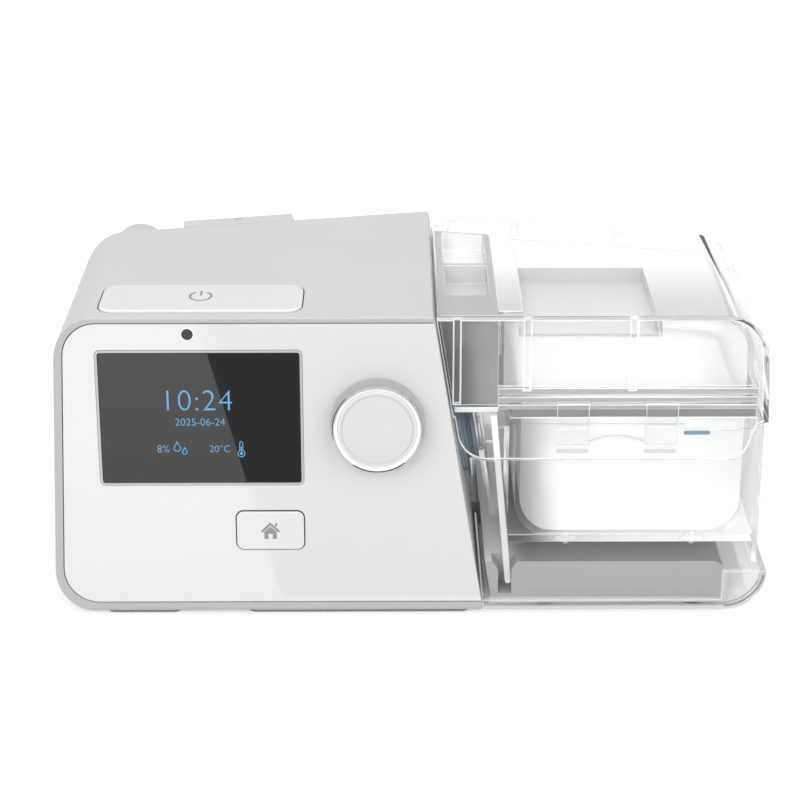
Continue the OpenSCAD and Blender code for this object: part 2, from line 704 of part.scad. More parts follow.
module impeller() color("whitesmoke") translate([blower_x, blower_y, 0]) union() {
    translate([0, 0, motor_z0 + 6]) cylinder(r = 1.5, h = impeller_z0 - motor_z0 - 5);
    translate([0, 0, impeller_z0]) cylinder(r = blade_r, h = 1.4);
    translate([0, 0, impeller_z0]) cylinder(r = 4, h = blade_h - 2);
    for (i = [0 : 10]) rotate(i * 360 / 11) translate([0, 0, impeller_z0 + 1])
        linear_extrude(blade_h - 1) intersection() {
            difference() {
                translate([5, 11]) circle(r = 12.4, $fn = 48);
                translate([5, 11]) circle(r = 11.2, $fn = 48);
            }
            difference() {
                circle(r = blade_r - 0.3);
                circle(r = 6);
            }
            translate([0, -15]) square([40, 26]);
        }
}
module blower_mount() color("darkslategray") translate([blower_x, blower_y, 0])
    rotate_extrude() polygon([
        [motor_r - 4, foot_h + floor_t + 0.05], [motor_r + 7, foot_h + floor_t + 0.05],
        [motor_r + 7, foot_h + floor_t + 2.5], [motor_r + 3.5, foot_h + floor_t + 3.5],
        [motor_r + 2.5, motor_z0 + 6], [motor_r + 0.1, motor_z0 + 6],
        [motor_r + 0.1, motor_z0 - 0.05], [motor_r - 2.5, motor_z0 - 0.05],
        [motor_r - 2.5, motor_z0 - 2], [motor_r - 4, motor_z0 - 2]
    ]);

// Ducts inside the main unit
duct_t = 1.5;
intake_x0 = blower_x - 13;
intake_z1 = bay_hole_z + bay_hole_r + 2;
intake_z0 = volute_z0 + volute_h + 1.1;
module intake_form(g) intersection() {
    translate([intake_x0 + g, blower_y - 12 + g, intake_z0 + g * 0.9])
        cube([26 - 2 * g, 60, intake_z1 - intake_z0 - 1.9 * g]);
    linear_extrude(far) main_plan(20, bay_d + bay_wall + 0.1 - (g > 0 ? 5 : 0));
}
module intake_duct() color("gray") difference() {
    intake_form(0);
    intersection() {
        intake_form(duct_t);
        linear_extrude(far) main_plan(20, bay_d + bay_wall + 0.1 + duct_t);
    }
    translate([blower_x, blower_y, intake_z0 - 1]) cylinder(r = bay_hole_r, h = 10);
    on_back() translate([cover_u, bay_hole_z, -bay_d - 15]) cylinder(r = bay_hole_r, h = 15);
}
duct_r = port_r + duct_t;
module seam_trim() on_seam() translate([-far / 2, -far / 2, -seam_gap / 2 - wall_t - 0.05]) cube(far);
delivery_x0 = blower_x + 40.05;
module delivery_duct() color("gray") difference() {
    union() {
        translate([delivery_x0, port_front_y, port_z]) rotate([0, 90, 0]) cylinder(r = duct_r, h = 50);
        translate([delivery_x0, port_front_y, port_z]) rotate([0, 90, 0]) cylinder(r = duct_r + 1.5, h = 2);
    }
    translate([delivery_x0 - 1, port_front_y, port_z]) rotate([0, 90, 0])
        cylinder(r1 = port_r - 2.5, r2 = port_r - 0.5, h = 52);
    seam_trim();
}
run_y = -18;
rise_x = -5;
tube_end_w = -14;
duct_in = port_r - 0.5;
duct_out = port_r + 1;
channel_z0 = outlet_z - duct_out;
channel_z1 = outlet_z + duct_in - 0.9;
run_end_y = main_back_y(outlet_x) + tube_end_w;
// Plan of the return channel of the half width h
module run_plan(h, end_y, r) polygon(rounded([
    [rise_x + h, port_rear_y + h, r], [rise_x - h, port_rear_y + h, r],
    [rise_x - h, run_y + h, 2], [outlet_x + h, run_y + h, 2],
    [outlet_x + h, end_y, 0], [outlet_x - h, end_y, 0],
    [outlet_x - h, run_y - h, r], [rise_x + h, run_y - h, r]
]));
module return_riser() color("gray") difference() {
    union() {
        translate([0, port_rear_y, port_z]) along_x(rise_x - duct_out, 40)
            rounded_box(2 * duct_out, 2 * duct_out, 4);
        translate([rise_x, port_rear_y, port_z]) linear_extrude(channel_z0 - air - port_z)
            rounded_box(2 * duct_out, 2 * duct_out, 4);
    }
    translate([0, port_rear_y, port_z]) along_x(rise_x - duct_in, 40) rounded_box(2 * duct_in, 2 * duct_in, 2.5);
    translate([rise_x, port_rear_y, port_z]) linear_extrude(far) rounded_box(2 * duct_in, 2 * duct_in, 2.5);
    seam_trim();
}
module return_channel() color("gray") difference() {
    translate([0, 0, channel_z0]) linear_extrude(channel_z1 - channel_z0) run_plan(duct_out, run_end_y, 4);
    translate([0, 0, channel_z0 + duct_t]) linear_extrude(far) run_plan(duct_in, run_end_y + 1, 2.5);
    translate([rise_x, port_rear_y, channel_z0 - 1]) linear_extrude(5) rounded_box(2 * duct_in, 2 * duct_in, 2.5);
}
module return_cover() color("darkgray") {
    translate([0, 0, channel_z1 + air]) linear_extrude(1.2) run_plan(duct_out, run_end_y, 4);
    translate([0, 0, channel_z1 - 0.8]) linear_extrude(1.2) run_plan(duct_in - 0.1, run_end_y, 2.4);
}

outlet_tip = overall_d / 2 - main_back_y(outlet_x);
outlet_in_r = outlet_r - 0.3;
module air_outlet() color("whitesmoke") on_outlet() difference() {
    union() {
        translate([0, 0, tube_end_w + 0.05]) cylinder(r = outlet_in_r, h = collar_len - tube_end_w);
        translate([0, 0, collar_len + 0.05]) cylinder(r = outlet_r, h = outlet_tip - 1 - collar_len - 0.05);
        translate([0, 0, outlet_tip - 1]) cylinder(r1 = outlet_r, r2 = outlet_r - 0.5, h = 1);
    }
    translate([0, 0, tube_end_w - 1]) cylinder(r = outlet_bore_r, h = 100);
}

module outlet_collar() color(casing_grey) difference() {
    on_outlet() translate([0, 0, -8]) cylinder(r = collar_r, h = collar_len + 8);
    on_outlet() translate([0, 0, -9]) cylinder(r = outlet_in_r + 0.1, h = collar_len + 18);
    main_room(-air, 0, 0);
}

// Filter
module filter_pad() color("aliceblue") on_back()
    translate([cover_u, (bay_z0 + bay_z1) / 2, -bay_d + 0.3])
        linear_extrude(pad_t) rounded_box(bay_w - 0.6, bay_z1 - bay_z0 - 0.6, 2);
slot_count = 7;
module filter_cover() color(casing_grey) on_back() difference() {
    union() {
        // Outer cap: its lower inner edge is rounded about the hinge axis
        intersection() {
            translate([cover_u - cover_w / 2, 0, 0]) along_back(cover_w) polygon(rounded([
                [air, cover_low, cover_hinge_w - air - 0.1], [cover_out, cover_low, 1.5],
                [cover_out, cover_top, 2], [air, cover_top, 0]
            ]));
            translate([cover_u, far, 0]) rotate([90, 0, 0]) linear_extrude(2 * far) polygon(rounded([
                [-cover_w / 2, 0, 0], [cover_w / 2, 0, 0],
                [cover_w / 2, cover_out, cover_corner_r], [-cover_w / 2, cover_out, cover_corner_r]
            ]));
        }
        // Skirt inside the bay
        translate([cover_u, (bay_z0 + bay_z1) / 2, -4]) linear_extrude(6)
            rounded_box(bay_w - 1.4, bay_z1 - bay_z0 - 1.4, 1.6);
        // Hinge pins
        translate([cover_u, cover_hinge_z, cover_hinge_w]) rotate([0, 90, 0])
            cylinder(r = cover_pin_r, h = cover_w + 2 * ear_t - 0.6, center = true);
    }
    // Hollow behind the louvres
    translate([cover_u, (bay_z0 + bay_z1) / 2, -5]) linear_extrude(5 + cover_out - 1.8)
        rounded_box(bay_w - 4.6, bay_z1 - bay_z0 - 4.6, 1);
    for (i = [0 : slot_count - 1])
        translate([cover_u + (i - (slot_count - 1) / 2) * 5, (bay_z0 + bay_z1) / 2, 0])
            linear_extrude(20) rounded_box(2.4, bay_z1 - bay_z0 - 10, 1.2);
    // Finger notch at the top
    translate([cover_u - 1.6, cover_top - 1.4, cover_out - 4]) cube([3.2, 5, 1.6]);
}

// Power inlet and card reader
module dc_inlet() color("black") on_back() translate([dc_u, dc_z, 0]) {
    difference() {
        union() {
            translate([0, 0, -12]) cylinder(r = dc_r, h = 12.3);
            translate([0, 0, -12]) linear_extrude(9.5) rounded_box(13, 13, 1);
        }
        translate([0, 0, -9]) cylinder(r = dc_bore_r, h = 20);
    }
    translate([0, 0, -10]) cylinder(r = 1, h = 8.5);
}
module card_reader() color("silver") on_back() difference() {
    translate([card_u, card_z, -wall_t - 0.1 - 22]) linear_extrude(22) rounded_box(28, 5.4, 0.5);
    translate([card_u, card_z, -wall_t - 20]) linear_extrude(40) rounded_box(24.4, 2.6, 0.2);
}
card_hinge_z = card_z - card_h / 2 + card_t / 2;
module card_cover() color("darkgray") on_back() difference() {
    union() {
        translate([card_u, card_z, -card_t]) translate([-card_w / 2, -card_h / 2 + card_t / 2, 0])
            cube([card_w, card_h - card_t / 2, card_t]);
        translate([card_u, card_hinge_z, -card_t / 2]) rotate([0, 90, 0])
            cylinder(r = card_t / 2, h = card_w, center = true);
    }
    translate([card_u - 4, card_z + card_h / 2 - 1.2, -0.6]) cube([8, 2, 2]);
}

// Blue seal between the ports and the tank
module port_seal() color("steelblue") on_seam() difference() {
    union() {
        translate([0, (port_front_y + port_rear_y) / 2, -seam_gap / 2 + 0.05]) linear_extrude(2.2)
            rounded_box(2 * port_r + 11, port_rear_y - port_front_y + 2 * port_r + 11, 8);
        for (y = [port_front_y, port_rear_y]) translate([0, y, 0]) rotate_extrude() polygon([
            [port_r, -seam_gap / 2 + 0.05], [port_r + 3.5, -seam_gap / 2 + 0.05], [port_r + 3.5, 3.2],
            [port_r + 2, 4.2], [port_r + 3.8, 5.4], [port_r + 3.8, seal_reach - 0.6],
            [port_r + 3.2, seal_reach], [port_r, seal_reach]
        ]);
    }
    for (y = [port_front_y, port_rear_y]) translate([0, y, -5]) cylinder(r = port_r, h = 20);
}
dock_x = seam_x(dock_z + dock_h / 2) - seam_gap / 2;
module dock_socket() color("black") difference() {
    translate([dock_x - 10, dock_y - dock_w / 2, dock_z - dock_h / 2]) cube([9.6, dock_w, dock_h]);
    translate([dock_x - 5, dock_y - dock_w / 2 + 1.5, dock_z - dock_h / 2 + 1.5])
        cube([10, dock_w - 3, dock_h - 3]);
}
module dock_plug() color("dimgray") union() {
    translate([dock_x - 4.5, dock_y - dock_w / 2 + 2, dock_z - dock_h / 2 + 2])
        cube([9 + (dock_h + 4) * tan(seam_lean), dock_w - 4, dock_h - 4]);
}

// Humidifier base
skirt_t = 2.2;
base_in = 2.9;
base_right_x = 118;
slot_x = seam_x(base_top) + 10.4;
leg_in = 7.6;
leg_t = 2.4;
leg_lean = 5.6;
slot_low_z = 7;
module base_form(g) intersection() {
    hum_room(base_in + g, base_in + g, base_in + g, foot_h + skirt_t + 0.05 - (g > 0 ? 5 : 0), roof_z);
    translate([0, 0, -5]) linear_extrude(base_top - g * 0.9 + 5) polygon(rounded([
        [0, -far, 0], [base_right_x - g, -far, 0],
        [base_right_x - g, hum_back_at(base_right_x, base_in + g), 12], [0, hum_back_at(0, base_in + g), 0]
    ]));
    along_y(-far, far) polygon(rounded([
        [seam_x(-10) + 1.2 + g, -10, 0], [base_right_x - g, -10, 0],
        [base_right_x - g, base_top - g, 6 - g * 0.5], [seam_x(base_top) + 1.2 + g, base_top - g, 0.8]
    ]));
}
heater_x = 80;
heater_y = -8;
heater_w = 62;
heater_d = 50;
module humidifier_base() color("darkgray") difference() {
    union() {
        difference() {
            base_form(0);
            base_form(2.4);
        }
        // Raised seat of the heater plate
        translate([heater_x, heater_y, base_top - 3]) linear_extrude(5) rounded_box(heater_w + 8, heater_d + 8, 10);
        // Pocket behind the guide slot
        translate([seam_x(base_top) + 5.5, front_y(base_top, base_in + 1), foot_h + skirt_t + 1])
            cube([13, 8, base_top - foot_h - skirt_t - 1.2]);
        // Block that holds the contact plug
        translate([dock_x + 3.2, dock_y - dock_w / 2 - 2, dock_z - dock_h / 2 - 1])
            cube([8, dock_w + 4, dock_h + 2]);
    }
    translate([heater_x, heater_y, base_top - 10]) linear_extrude(30) rounded_box(heater_w - 6, heater_d - 6, 6);
    translate([heater_x, heater_y, base_top - 1.2]) linear_extrude(30) rounded_box(heater_w + 0.4, heater_d + 0.4, 8);
    // Guide slot with its V-shaped mouth
    along_y(front_foot_y - 10, front_y(base_top, base_in + 6)) polygon([
        [slot_x - 2.1, slot_low_z], [slot_x + 2.9, slot_low_z], [slot_x + 2.9, base_top - 3.3],
        [slot_x + 5.6, base_top + 1], [slot_x - 5.2, base_top + 1], [slot_x - 2.1, base_top - 3.3]
    ]);
    translate([dock_x - 5, dock_y - dock_w / 2 + 1.95, dock_z - dock_h / 2 + 1.95])
        cube([30, dock_w - 3.9, dock_h - 3.9]);
}
module base_skirt() color([0.9, 0.93, 0.95, 0.5]) difference() {
    hum_block();
    hum_room(skirt_t, skirt_t, skirt_t, foot_h + skirt_t, roof_z + 20);
    // Low rim in front, behind and along the seam
    translate([-far, -far, foot_h + rim_h]) cube([far + base_right_x - 2, 2 * far, far]);
    translate([-far, -far, foot_h + corner_h]) cube([3 * far, 2 * far, far]);
}
module heater_plate() color("silver") difference() {
    translate([heater_x, heater_y, base_top - 1.15])
        linear_extrude(tank_floor_z - 0.05 - base_top + 1.15) rounded_box(heater_w, heater_d, 7.8);
    translate([heater_x, heater_y, base_top - 5]) linear_extrude(7) rounded_box(heater_w - 10, heater_d - 10, 5);
}

// Rear panel of the humidifier with the hinge barrels
hinge_run = (plan_half - seam_top_x) / cos(hum_turn);
hinge_from = 6;
hinge_to = hinge_run - 22;
knuckles = [8.7, 34.2, 76.2];
knuckle_w = 3.2;
knuckle_gap = 0.4;
upstand_w = hinge_in + 1.2;
upstand_t = 1.6;
rear_t = 2.2;
shelf_z = hinge_z - hinge_in - 0.8;
rear_low_z = foot_h + rim_h + air;
module rear_wall_shape() intersection() {
    difference() {
        linear_extrude(far) hum_plan(0, 0);
        linear_extrude(far) hum_plan(rear_t, rear_t);
    }
    along_y(-far, far) difference() {
        hum_section(rear_low_z - 20, roof_z, 0, seam_gap / 2, base_r);
        translate([-far, -far]) square([3 * far, far + rear_low_z]);
    }
    union() {
        translate([0, hum_back_at(plan_half) - 6, 0]) cube([base_right_x - 3.2, far, shelf_z]);
        translate([0, hum_back_at(plan_half) - 6, foot_h + corner_h + air])
            cube([far, far, shelf_z - foot_h - corner_h - air]);
    }
}
module rear_panel() color([0.9, 0.93, 0.95, 0.4]) difference() {
    union() {
        rear_wall_shape();
        // Shelf, upstand and barrel along the hinge
        on_hum_back() translate([-hinge_to, 0, 0]) {
            translate([0, shelf_z - 1.8, -upstand_w - upstand_t])
                cube([hinge_to - hinge_from, 1.8, upstand_w + upstand_t - rear_t + 0.5]);
            translate([0, shelf_z - 1.8, -upstand_w - upstand_t])
                cube([hinge_to - hinge_from, hinge_z - shelf_z + 1.8, upstand_t]);
            translate([0, hinge_z, -hinge_in]) rotate([0, 90, 0])
                cylinder(r = barrel_r, h = hinge_to - hinge_from);
        }
    }
    on_hum_back() {
        translate([-hinge_to - 1, hinge_z, -hinge_in]) rotate([0, 90, 0])
            cylinder(r = pin_r + 0.05, h = hinge_to);
        for (k = knuckles) translate([-k - knuckle_w - knuckle_gap, hinge_z, -hinge_in]) rotate([0, 90, 0])
            cylinder(r = barrel_r + 0.5, h = knuckle_w + 2 * knuckle_gap);
    }
}
module hinge_pin() color("silver") on_hum_back()
    translate([-hinge_to + 0.5, hinge_z, -hinge_in]) rotate([0, 90, 0])
        cylinder(r = pin_r, h = hinge_to - hinge_from - 1);

// Flip lid
lid_rib_w = 2.6;
lid_rib_d = 3.4;
lid_rib_u = [16.3, 41.7, 80];
seal_top_z = 85;
lid_rib_z = [seal_top_z - 4.5, seal_top_z + 0.5, seal_top_z + 0.5];
lid_corner_r = 11;
side_cut_y = hum_back_at(plan_half) - 6 - 0.8;
side_rise = 20;
side_rise_run = 60;
module lid_cut() {
    // Below the front edge, which rises to the side edge near the corner
    along_y(-far, side_cut_y) polygon(rounded([
        [-far, -far, 0], [far, -far, 0], [far, lid_side_z, 0],
        [side_x(lid_side_z) - 4, lid_side_z, 5], [side_x(lid_side_z) - 9, lid_front_z, 7],
        [seam_x(lid_front_z) + 1.2, lid_front_z, lid_corner_r],
        [seam_x(lid_front_z + 16) + 1.2, lid_front_z + 16, 0.6],
        [seam_x(lid_front_z + 16) - 5, lid_front_z + 17.5, 0], [-far, lid_front_z + 17.5, 0]
    ]));
    // Side edge that rises towards the hinge
    along_x(100, far) polygon([
        [side_cut_y - side_rise_run, lid_side_z - 15], [side_cut_y + 1, lid_side_z - 15],
        [side_cut_y + 1, lid_side_z + side_rise], [side_cut_y - side_rise_run, lid_side_z]
    ]);
    // Corner beside the main unit that would strike it when the lid swings back
    translate([-far, hum_back_at(seam_top_x) - hinge_in - 1.5, -far])
        cube([far + seam_x(shelf_z) + seam_gap / 2 + air, far, far + hinge_z + 9]);
    // Behind the side edge the lid ends at the height of the hinge
    translate([-far, side_cut_y - 0.01, -far]) cube([3 * far, 2 * far, far + hinge_z]);
}
module flip_lid() color([0.92, 0.95, 0.97, 0.35]) difference() {
    union() {
        difference() {
            hum_block();
            intersection() {
                along_y(-far, far) hum_section(-20, roof_z - lid_t, lid_t, -20, 1);
                linear_extrude(far) hum_plan(lid_t, lid_t);
                along_x(-far, far) behind_front(lid_t);
            }
            lid_cut();
        }
        // Hold-down ribs on the inside of the front
        intersection() {
            for (i = [0 : 2]) translate([lid_rib_u[i] - lid_rib_w / 2, -far, lid_rib_z[i]])
                cube([lid_rib_w, 2 * far, roof_z - lid_rib_z[i] - 1]);
            along_x(-far, far) difference() {
                behind_front(lid_t - 0.4);
                behind_front(lid_rib_d);
            }
        }
        // Hinge knuckles
        on_hum_back() for (k = knuckles) translate([-k - knuckle_w, 0, 0]) {
            translate([0, hinge_z, -hinge_in]) rotate([0, 90, 0]) cylinder(r = barrel_r, h = knuckle_w);
            translate([0, hinge_z, -hinge_in - 1]) cube([knuckle_w, roof_z - hinge_z - 1, 2]);
            translate([0, hinge_z + barrel_r + 1.5, -hinge_in]) cube([knuckle_w, 1.6, hinge_in - 0.5]);
        }
    }
    on_hum_back() translate([-hinge_to - 1, hinge_z, -hinge_in]) rotate([0, 90, 0])
        cylinder(r = pin_r + 0.06, h = hinge_to + 10);
}

// Tank
tank_right = 3.5;
tank_front_g = tank_front_in + 1.8;
// Plan of the tank at the height z, moved inward by g from the flange
module tank_plan(g, left_x) polygon(rounded([
    [left_x + g, -far, 0],
    [side_x(lid_side_z, tank_right) - g, -far, 0],
    [side_x(lid_side_z, tank_right) - g, hum_back_at(side_x(lid_side_z), tank_back_in + g), 12 - g * 0.5],
    [left_x + g, hum_back_at(left_x + g, tank_back_in + g), 3]
]));
module tank_slab(g, left_x, z0, z1, front_g) intersection() {
    translate([0, 0, z0]) linear_extrude(z1 - z0) tank_plan(g, left_x);
    along_x(-far, far) behind_front(front_g);
}
basin_g = 2.2;
basin_r = 15;
module basin_form(g, top) intersection() {
    along_y(-far, far) polygon(rounded([
        [tank_left_x + basin_g + g, top, 0], [tank_left_x + basin_g + g, tank_floor_z + 1 + g, basin_r - g],
        [side_x(lid_side_z, tank_right) - basin_g - g, tank_floor_z + 1 + g, basin_r - g],
        [side_x(lid_side_z, tank_right) - basin_g - g, top, 0]
    ]));
    translate([0, 0, -1]) linear_extrude(far) tank_plan(basin_g + g, tank_left_x);
    along_x(-far, far) behind_front(tank_front_in + 1 + g);
}
skin_in = 0.9;
plate_w = heater_w - 2;
plate_d = heater_d - 2;
module tank_lower() color([0.9, 0.94, 0.96, 0.4]) difference() {
    union() {
        basin_form(0, tank_split_z - 1);
        // Foot plate and top flange
        tank_slab(0, tank_left_x, tank_floor_z, tank_floor_z + 3, tank_front_in);
        tank_slab(0, tank_left_x, tank_split_z - 2.5, tank_split_z, tank_front_in);
        // Outer skin on the side, from the clear corner up to the lid
        intersection() {
            tank_skin();
            translate([100, -far, foot_h + corner_h + 1]) cube([far, 2 * far, lid_side_z - foot_h - corner_h - 3.5]);
        }
        intersection() {
            tank_skin_fill();
            union() {
                translate([100, -far, tank_floor_z]) cube([far, 2 * far, 3]);
                translate([100, -far, tank_split_z - 4.5]) cube([far, 2 * far, 2]);
            }
        }
    }
    basin_form(tank_t, tank_split_z + 1);
    translate([heater_x, heater_y, tank_floor_z - 5]) linear_extrude(15) rounded_box(plate_w - 3, plate_d - 3, 6);
    translate([heater_x, heater_y, tank_floor_z - 5]) linear_extrude(7.05) rounded_box(plate_w + 0.1, plate_d + 0.1, 7);
}
module tank_skin_fill() intersection() {
    linear_extrude(far) polygon(rounded([
        [60, -far, 0], [skin_x, -far, 0],
        [skin_x, hum_back_at(skin_x, tank_back_in), 13], [60, hum_back_at(60, tank_back_in), 0]
    ]));
    along_x(-far, far) behind_front(tank_front_in);
}
skin_x = side_x(tank_floor_z, 0) - 2.9;
module tank_skin() difference() {
    tank_skin_fill();
    translate([0, 0, -1]) linear_extrude(far) polygon(rounded([
        [60, -far, 0], [skin_x - tank_t, -far, 0],
        [skin_x - tank_t, hum_back_at(skin_x, tank_back_in + tank_t), 11], [60, hum_back_at(60, tank_back_in + tank_t), 0]
    ]));
    translate([-far, -far, -1]) cube([far + base_right_x + 0.6, 2 * far, far]);
}
module tank_plate() color("silver")
    translate([heater_x, heater_y, tank_floor_z + 0.1]) linear_extrude(1.9) rounded_box(plate_w, plate_d, 6.9);

module tank_seal() color("gray") difference() {
    tank_slab(0.6, tank_left_x, tank_split_z + 0.05, tank_split_z + 3, tank_front_in + 0.6);
    translate([0, 0, -1]) basin_form(tank_t, far);
}

// Room under a roof whose back edge is rounded about the hinge side
back_round = 8;
module back_edge(top, in, g) on_hum_back() translate([-far, 0, 0]) along_back(2 * far)
    polygon(rounded([
        [-far, -far, 0], [-in, -far, 0], [-in, top - g, back_round - g], [-far, top - g, 0]
    ]));

// Upper tank: flange with two grooves, wall, roof with its channel and recess
upper_z0 = tank_split_z + 3.05;
fin_z = [upper_z0, upper_z0 + 2.9, upper_z0 + 5.8];
fin_t = [1.8, 1.8, seal_top_z - upper_z0 - 5.8];
upper_left = 31.6;
channel_w = 8.9;
channel_rise = 0.8;
recess_x = [41, 89];
recess_y = 0;
recess_d = 5;
function upper_section(g, z1) = [
    [upper_left + g, seal_top_z - 12, 0], [side_x(seal_top_z, tank_right + 1) - g, seal_top_z - 12, 0],
    [side_x(z1, tank_right + 1) - g, z1, top_r - 4 - g], [upper_left + g, z1, 1]
];
module upper_form(g, low) intersection() {
    along_y(-far, far) polygon(rounded(upper_section(g, tank_top_z - g)));
    translate([0, 0, low]) linear_extrude(far) tank_plan(1 + g, upper_left - 1);
    back_edge(tank_top_z, tank_back_in + 1 + g, g);
    along_x(-far, far) polygon(rounded([
        [front_y(low, tank_front_g + g), low, 0], [far, low, 0], [far, tank_top_z - g, 0],
        [front_y(tank_top_z, tank_front_g + g), tank_top_z - g, 4]
    ]));
}
module recess_form(g) translate([recess_x[0] - g, -far, tank_top_z - recess_d - g])
    cube([recess_x[1] - recess_x[0] + 2 * g, far + recess_y + g, far]);
module tank_upper() color([0.9, 0.94, 0.96, 0.35]) difference() {
    union() {
        difference() {
            upper_form(0, upper_z0);
            recess_form(0);
        }
        for (i = [0 : 2]) tank_slab(0, upper_left, fin_z[i], fin_z[i] + fin_t[i], tank_front_in);
        // Raised air channel along the left
        intersection() {
            translate([upper_left, -far, tank_top_z - 2]) cube([channel_w, 2 * far, 2 + channel_rise]);
            tank_slab(5, upper_left - 5, 0, far, tank_front_g + 4);
        }
    }
    difference() {
        upper_form(tank_t, upper_z0 - 3);
        recess_form(tank_t);
    }
    // Windows to the air duct
    for (y = [port_front_y, port_rear_y]) translate([upper_left - 2, y - 8, seal_top_z + 3]) cube([6, 16, 9]);
}

// Air duct of the tank, beside the seam
duct_top_z = tank_top_z + channel_rise;
duct_low_z = 36;
duct_knee_z = tank_split_z + 2;
duct_right = upper_left - 0.1;
duct_edge = 1.2;
pocket_y = [[-27.5, 0.8], [2.8, 35.6]];
pocket_z = 103;
arch_top_z = 94;
arch_right = 26;
// Left side of the guide leg, which ends in the slot of the base
function leg_x(z) = slot_x + 1.7 - leg_t / 2 + 0.1 - (z - slot_low_z - 3) * tan(leg_lean);
module duct_outline(g) polygon([
    [seam_x(duct_low_z + g) + leg_in + g, duct_low_z + g],
    [tank_left_x - 0.1 - g, duct_low_z + g],
    [tank_left_x - 0.1 - g, duct_knee_z - 6 - g],
    [duct_right - g, duct_knee_z - 6 - g],
    [duct_right - g, duct_top_z - g],
    [seam_x(duct_top_z - g) + duct_edge + g, duct_top_z - g],
    [seam_x(duct_knee_z + g) + duct_edge + g, duct_knee_z + g],
    [seam_x(duct_knee_z + g) + leg_in + g, duct_knee_z + g]
]);
module duct_form(g, front_g) intersection() {
    along_y(-far, far) duct_outline(g);
    linear_extrude(far) polygon(rounded([
        [-far, -far, 0], [far, -far, 0],
        [far, hum_back_at(far, tank_back_in + g), 0], [-far, hum_back_at(-far, tank_back_in + g), 0]
    ]));
    back_edge(duct_top_z, tank_back_in + g, g);
    along_x(-far, far) behind_front(front_g);
}
module air_duct() color([0.75, 0.77, 0.79, 0.6]) difference() {
    union() {
        duct_form(0, tank_front_g);
        // Slanted guide leg that drops into the slot of the base
        intersection() {
            along_y(-far, far) polygon(rounded([
                [leg_x(duct_knee_z - 1), duct_knee_z - 1, 0],
                [leg_x(slot_low_z + 3), slot_low_z + 3, leg_t / 2 - 0.05],
                [leg_x(slot_low_z + 3) + leg_t, slot_low_z + 3, leg_t / 2 - 0.05],
                [leg_x(duct_knee_z - 1) + leg_t, duct_knee_z - 1, 0]
            ]));
            along_x(-far, far) difference() {
                behind_front(tank_front_in - 0.6);
                behind_front(tank_front_in + 3);
            }
        }
        // Raised arch on the front
        intersection() {
            along_y(-far, far) polygon(rounded([
                [seam_x(arch_top_z) + duct_edge + 4, arch_top_z, 5], [arch_right, arch_top_z, 5],
                [arch_right, duct_knee_z + 1, 0], [seam_x(duct_knee_z) + duct_edge + 2, duct_knee_z + 1, 0]
            ]));
            along_x(-far, far) difference() {
                behind_front(tank_front_g - 0.9);
                behind_front(tank_front_g + 1);
            }
        }
        // Ledge across the front at the height of the seal
        intersection() {
            along_y(-far, far) polygon([
                [seam_x(duct_knee_z) + duct_edge, duct_knee_z], [duct_right, duct_knee_z],
                [duct_right, duct_knee_z + 2], [seam_x(duct_knee_z + 2) + duct_edge, duct_knee_z + 2]
            ]);
            along_x(-far, far) difference() {
                behind_front(tank_front_in);
                behind_front(tank_front_g + 2);
            }
        }
    }
    // Room for the air, below the pockets
    intersection() {
        duct_form(1.8, tank_front_g + 1.8);
        union() {
            translate([-far, -far, -far]) cube([3 * far, far - 6, far + pocket_z - 1.8]);
            translate([-far, -4, -far]) cube([3 * far, 2 * far, far + pocket_z - 1.8]);
        }
    }
    // Two open pockets in the top
    for (p = pocket_y) translate([0, p[0], pocket_z]) linear_extrude(20) polygon(rounded([
        [seam_x(pocket_z) + duct_edge + 1.6, 0, 1.5], [duct_right - 2.4, 0, 1.5],
        [duct_right - 2.4, p[1] - p[0] - (duct_right - 12) * tan(hum_turn) * (p[1] > 20 ? 1 : 0), 1.5],
        [seam_x(pocket_z) + duct_edge + 1.6, p[1] - p[0], 1.5]
    ]));
    on_seam() for (y = [port_front_y, port_rear_y]) translate([0, y, 0]) cylinder(r = port_r, h = 11);
    for (y = [port_front_y, port_rear_y]) translate([duct_right - 4, y - 8, seal_top_z + 3]) cube([8, 16, 9]);
}

// Latch clips that clamp both halves of the tank on the seal
clip_u = [58.9, 91.5];
clip_w = 11.8;
clip_low = 64.4;
clip_gap = 0.1;
clip_t = 1.5;
clip_front = tank_front_in - clip_gap - clip_t;
clip_top = fin_z[1] - clip_gap;
function clip_point(z, g) = [front_y(z, g), z];
module tank_clips() color([0.85, 0.88, 0.9, 0.6]) for (u = clip_u)
    along_x(u - clip_w / 2, u + clip_w / 2) polygon([
        clip_point(clip_low, clip_front), clip_point(clip_low, clip_front + clip_t),
        clip_point(tank_split_z - 4.3, clip_front + clip_t),
        clip_point(tank_split_z - 3.9, clip_front + clip_t + 0.9),
        clip_point(tank_split_z - 2.5 - clip_gap, clip_front + clip_t + 0.9),
        clip_point(tank_split_z - 2.5 - clip_gap, clip_front + clip_t),
        clip_point(fin_z[0] + fin_t[0] + clip_gap, clip_front + clip_t),
        clip_point(fin_z[0] + fin_t[0] + clip_gap, clip_front + clip_t + 1.6),
        clip_point(clip_top, clip_front + clip_t + 1.6), clip_point(clip_top, clip_front)
    ]);

// Feet: discs at the back and under the humidifier, long pads along the front
foot_r = 5;
foot_spots = [[-98, 5], [-2, 22], [50, -62], [106, -62], [50, 28], [104, 16]];
pad_spots = [[-100.4, 28], [-20, 83]];
pad_d = 6;
module rubber_feet() color("dimgray") {
    for (p = foot_spots) translate([p[0], p[1], 0])
        rotate_extrude() polygon([[0, 0], [foot_r - 0.4, 0], [foot_r, 0.4], [foot_r, foot_h], [0, foot_h]]);
    for (p = pad_spots) translate([p[0], front_foot_y + edge_r + 0.6 + pad_d / 2, 0])
        linear_extrude(foot_h) rounded_box(p[1], pad_d, pad_d / 2);
}

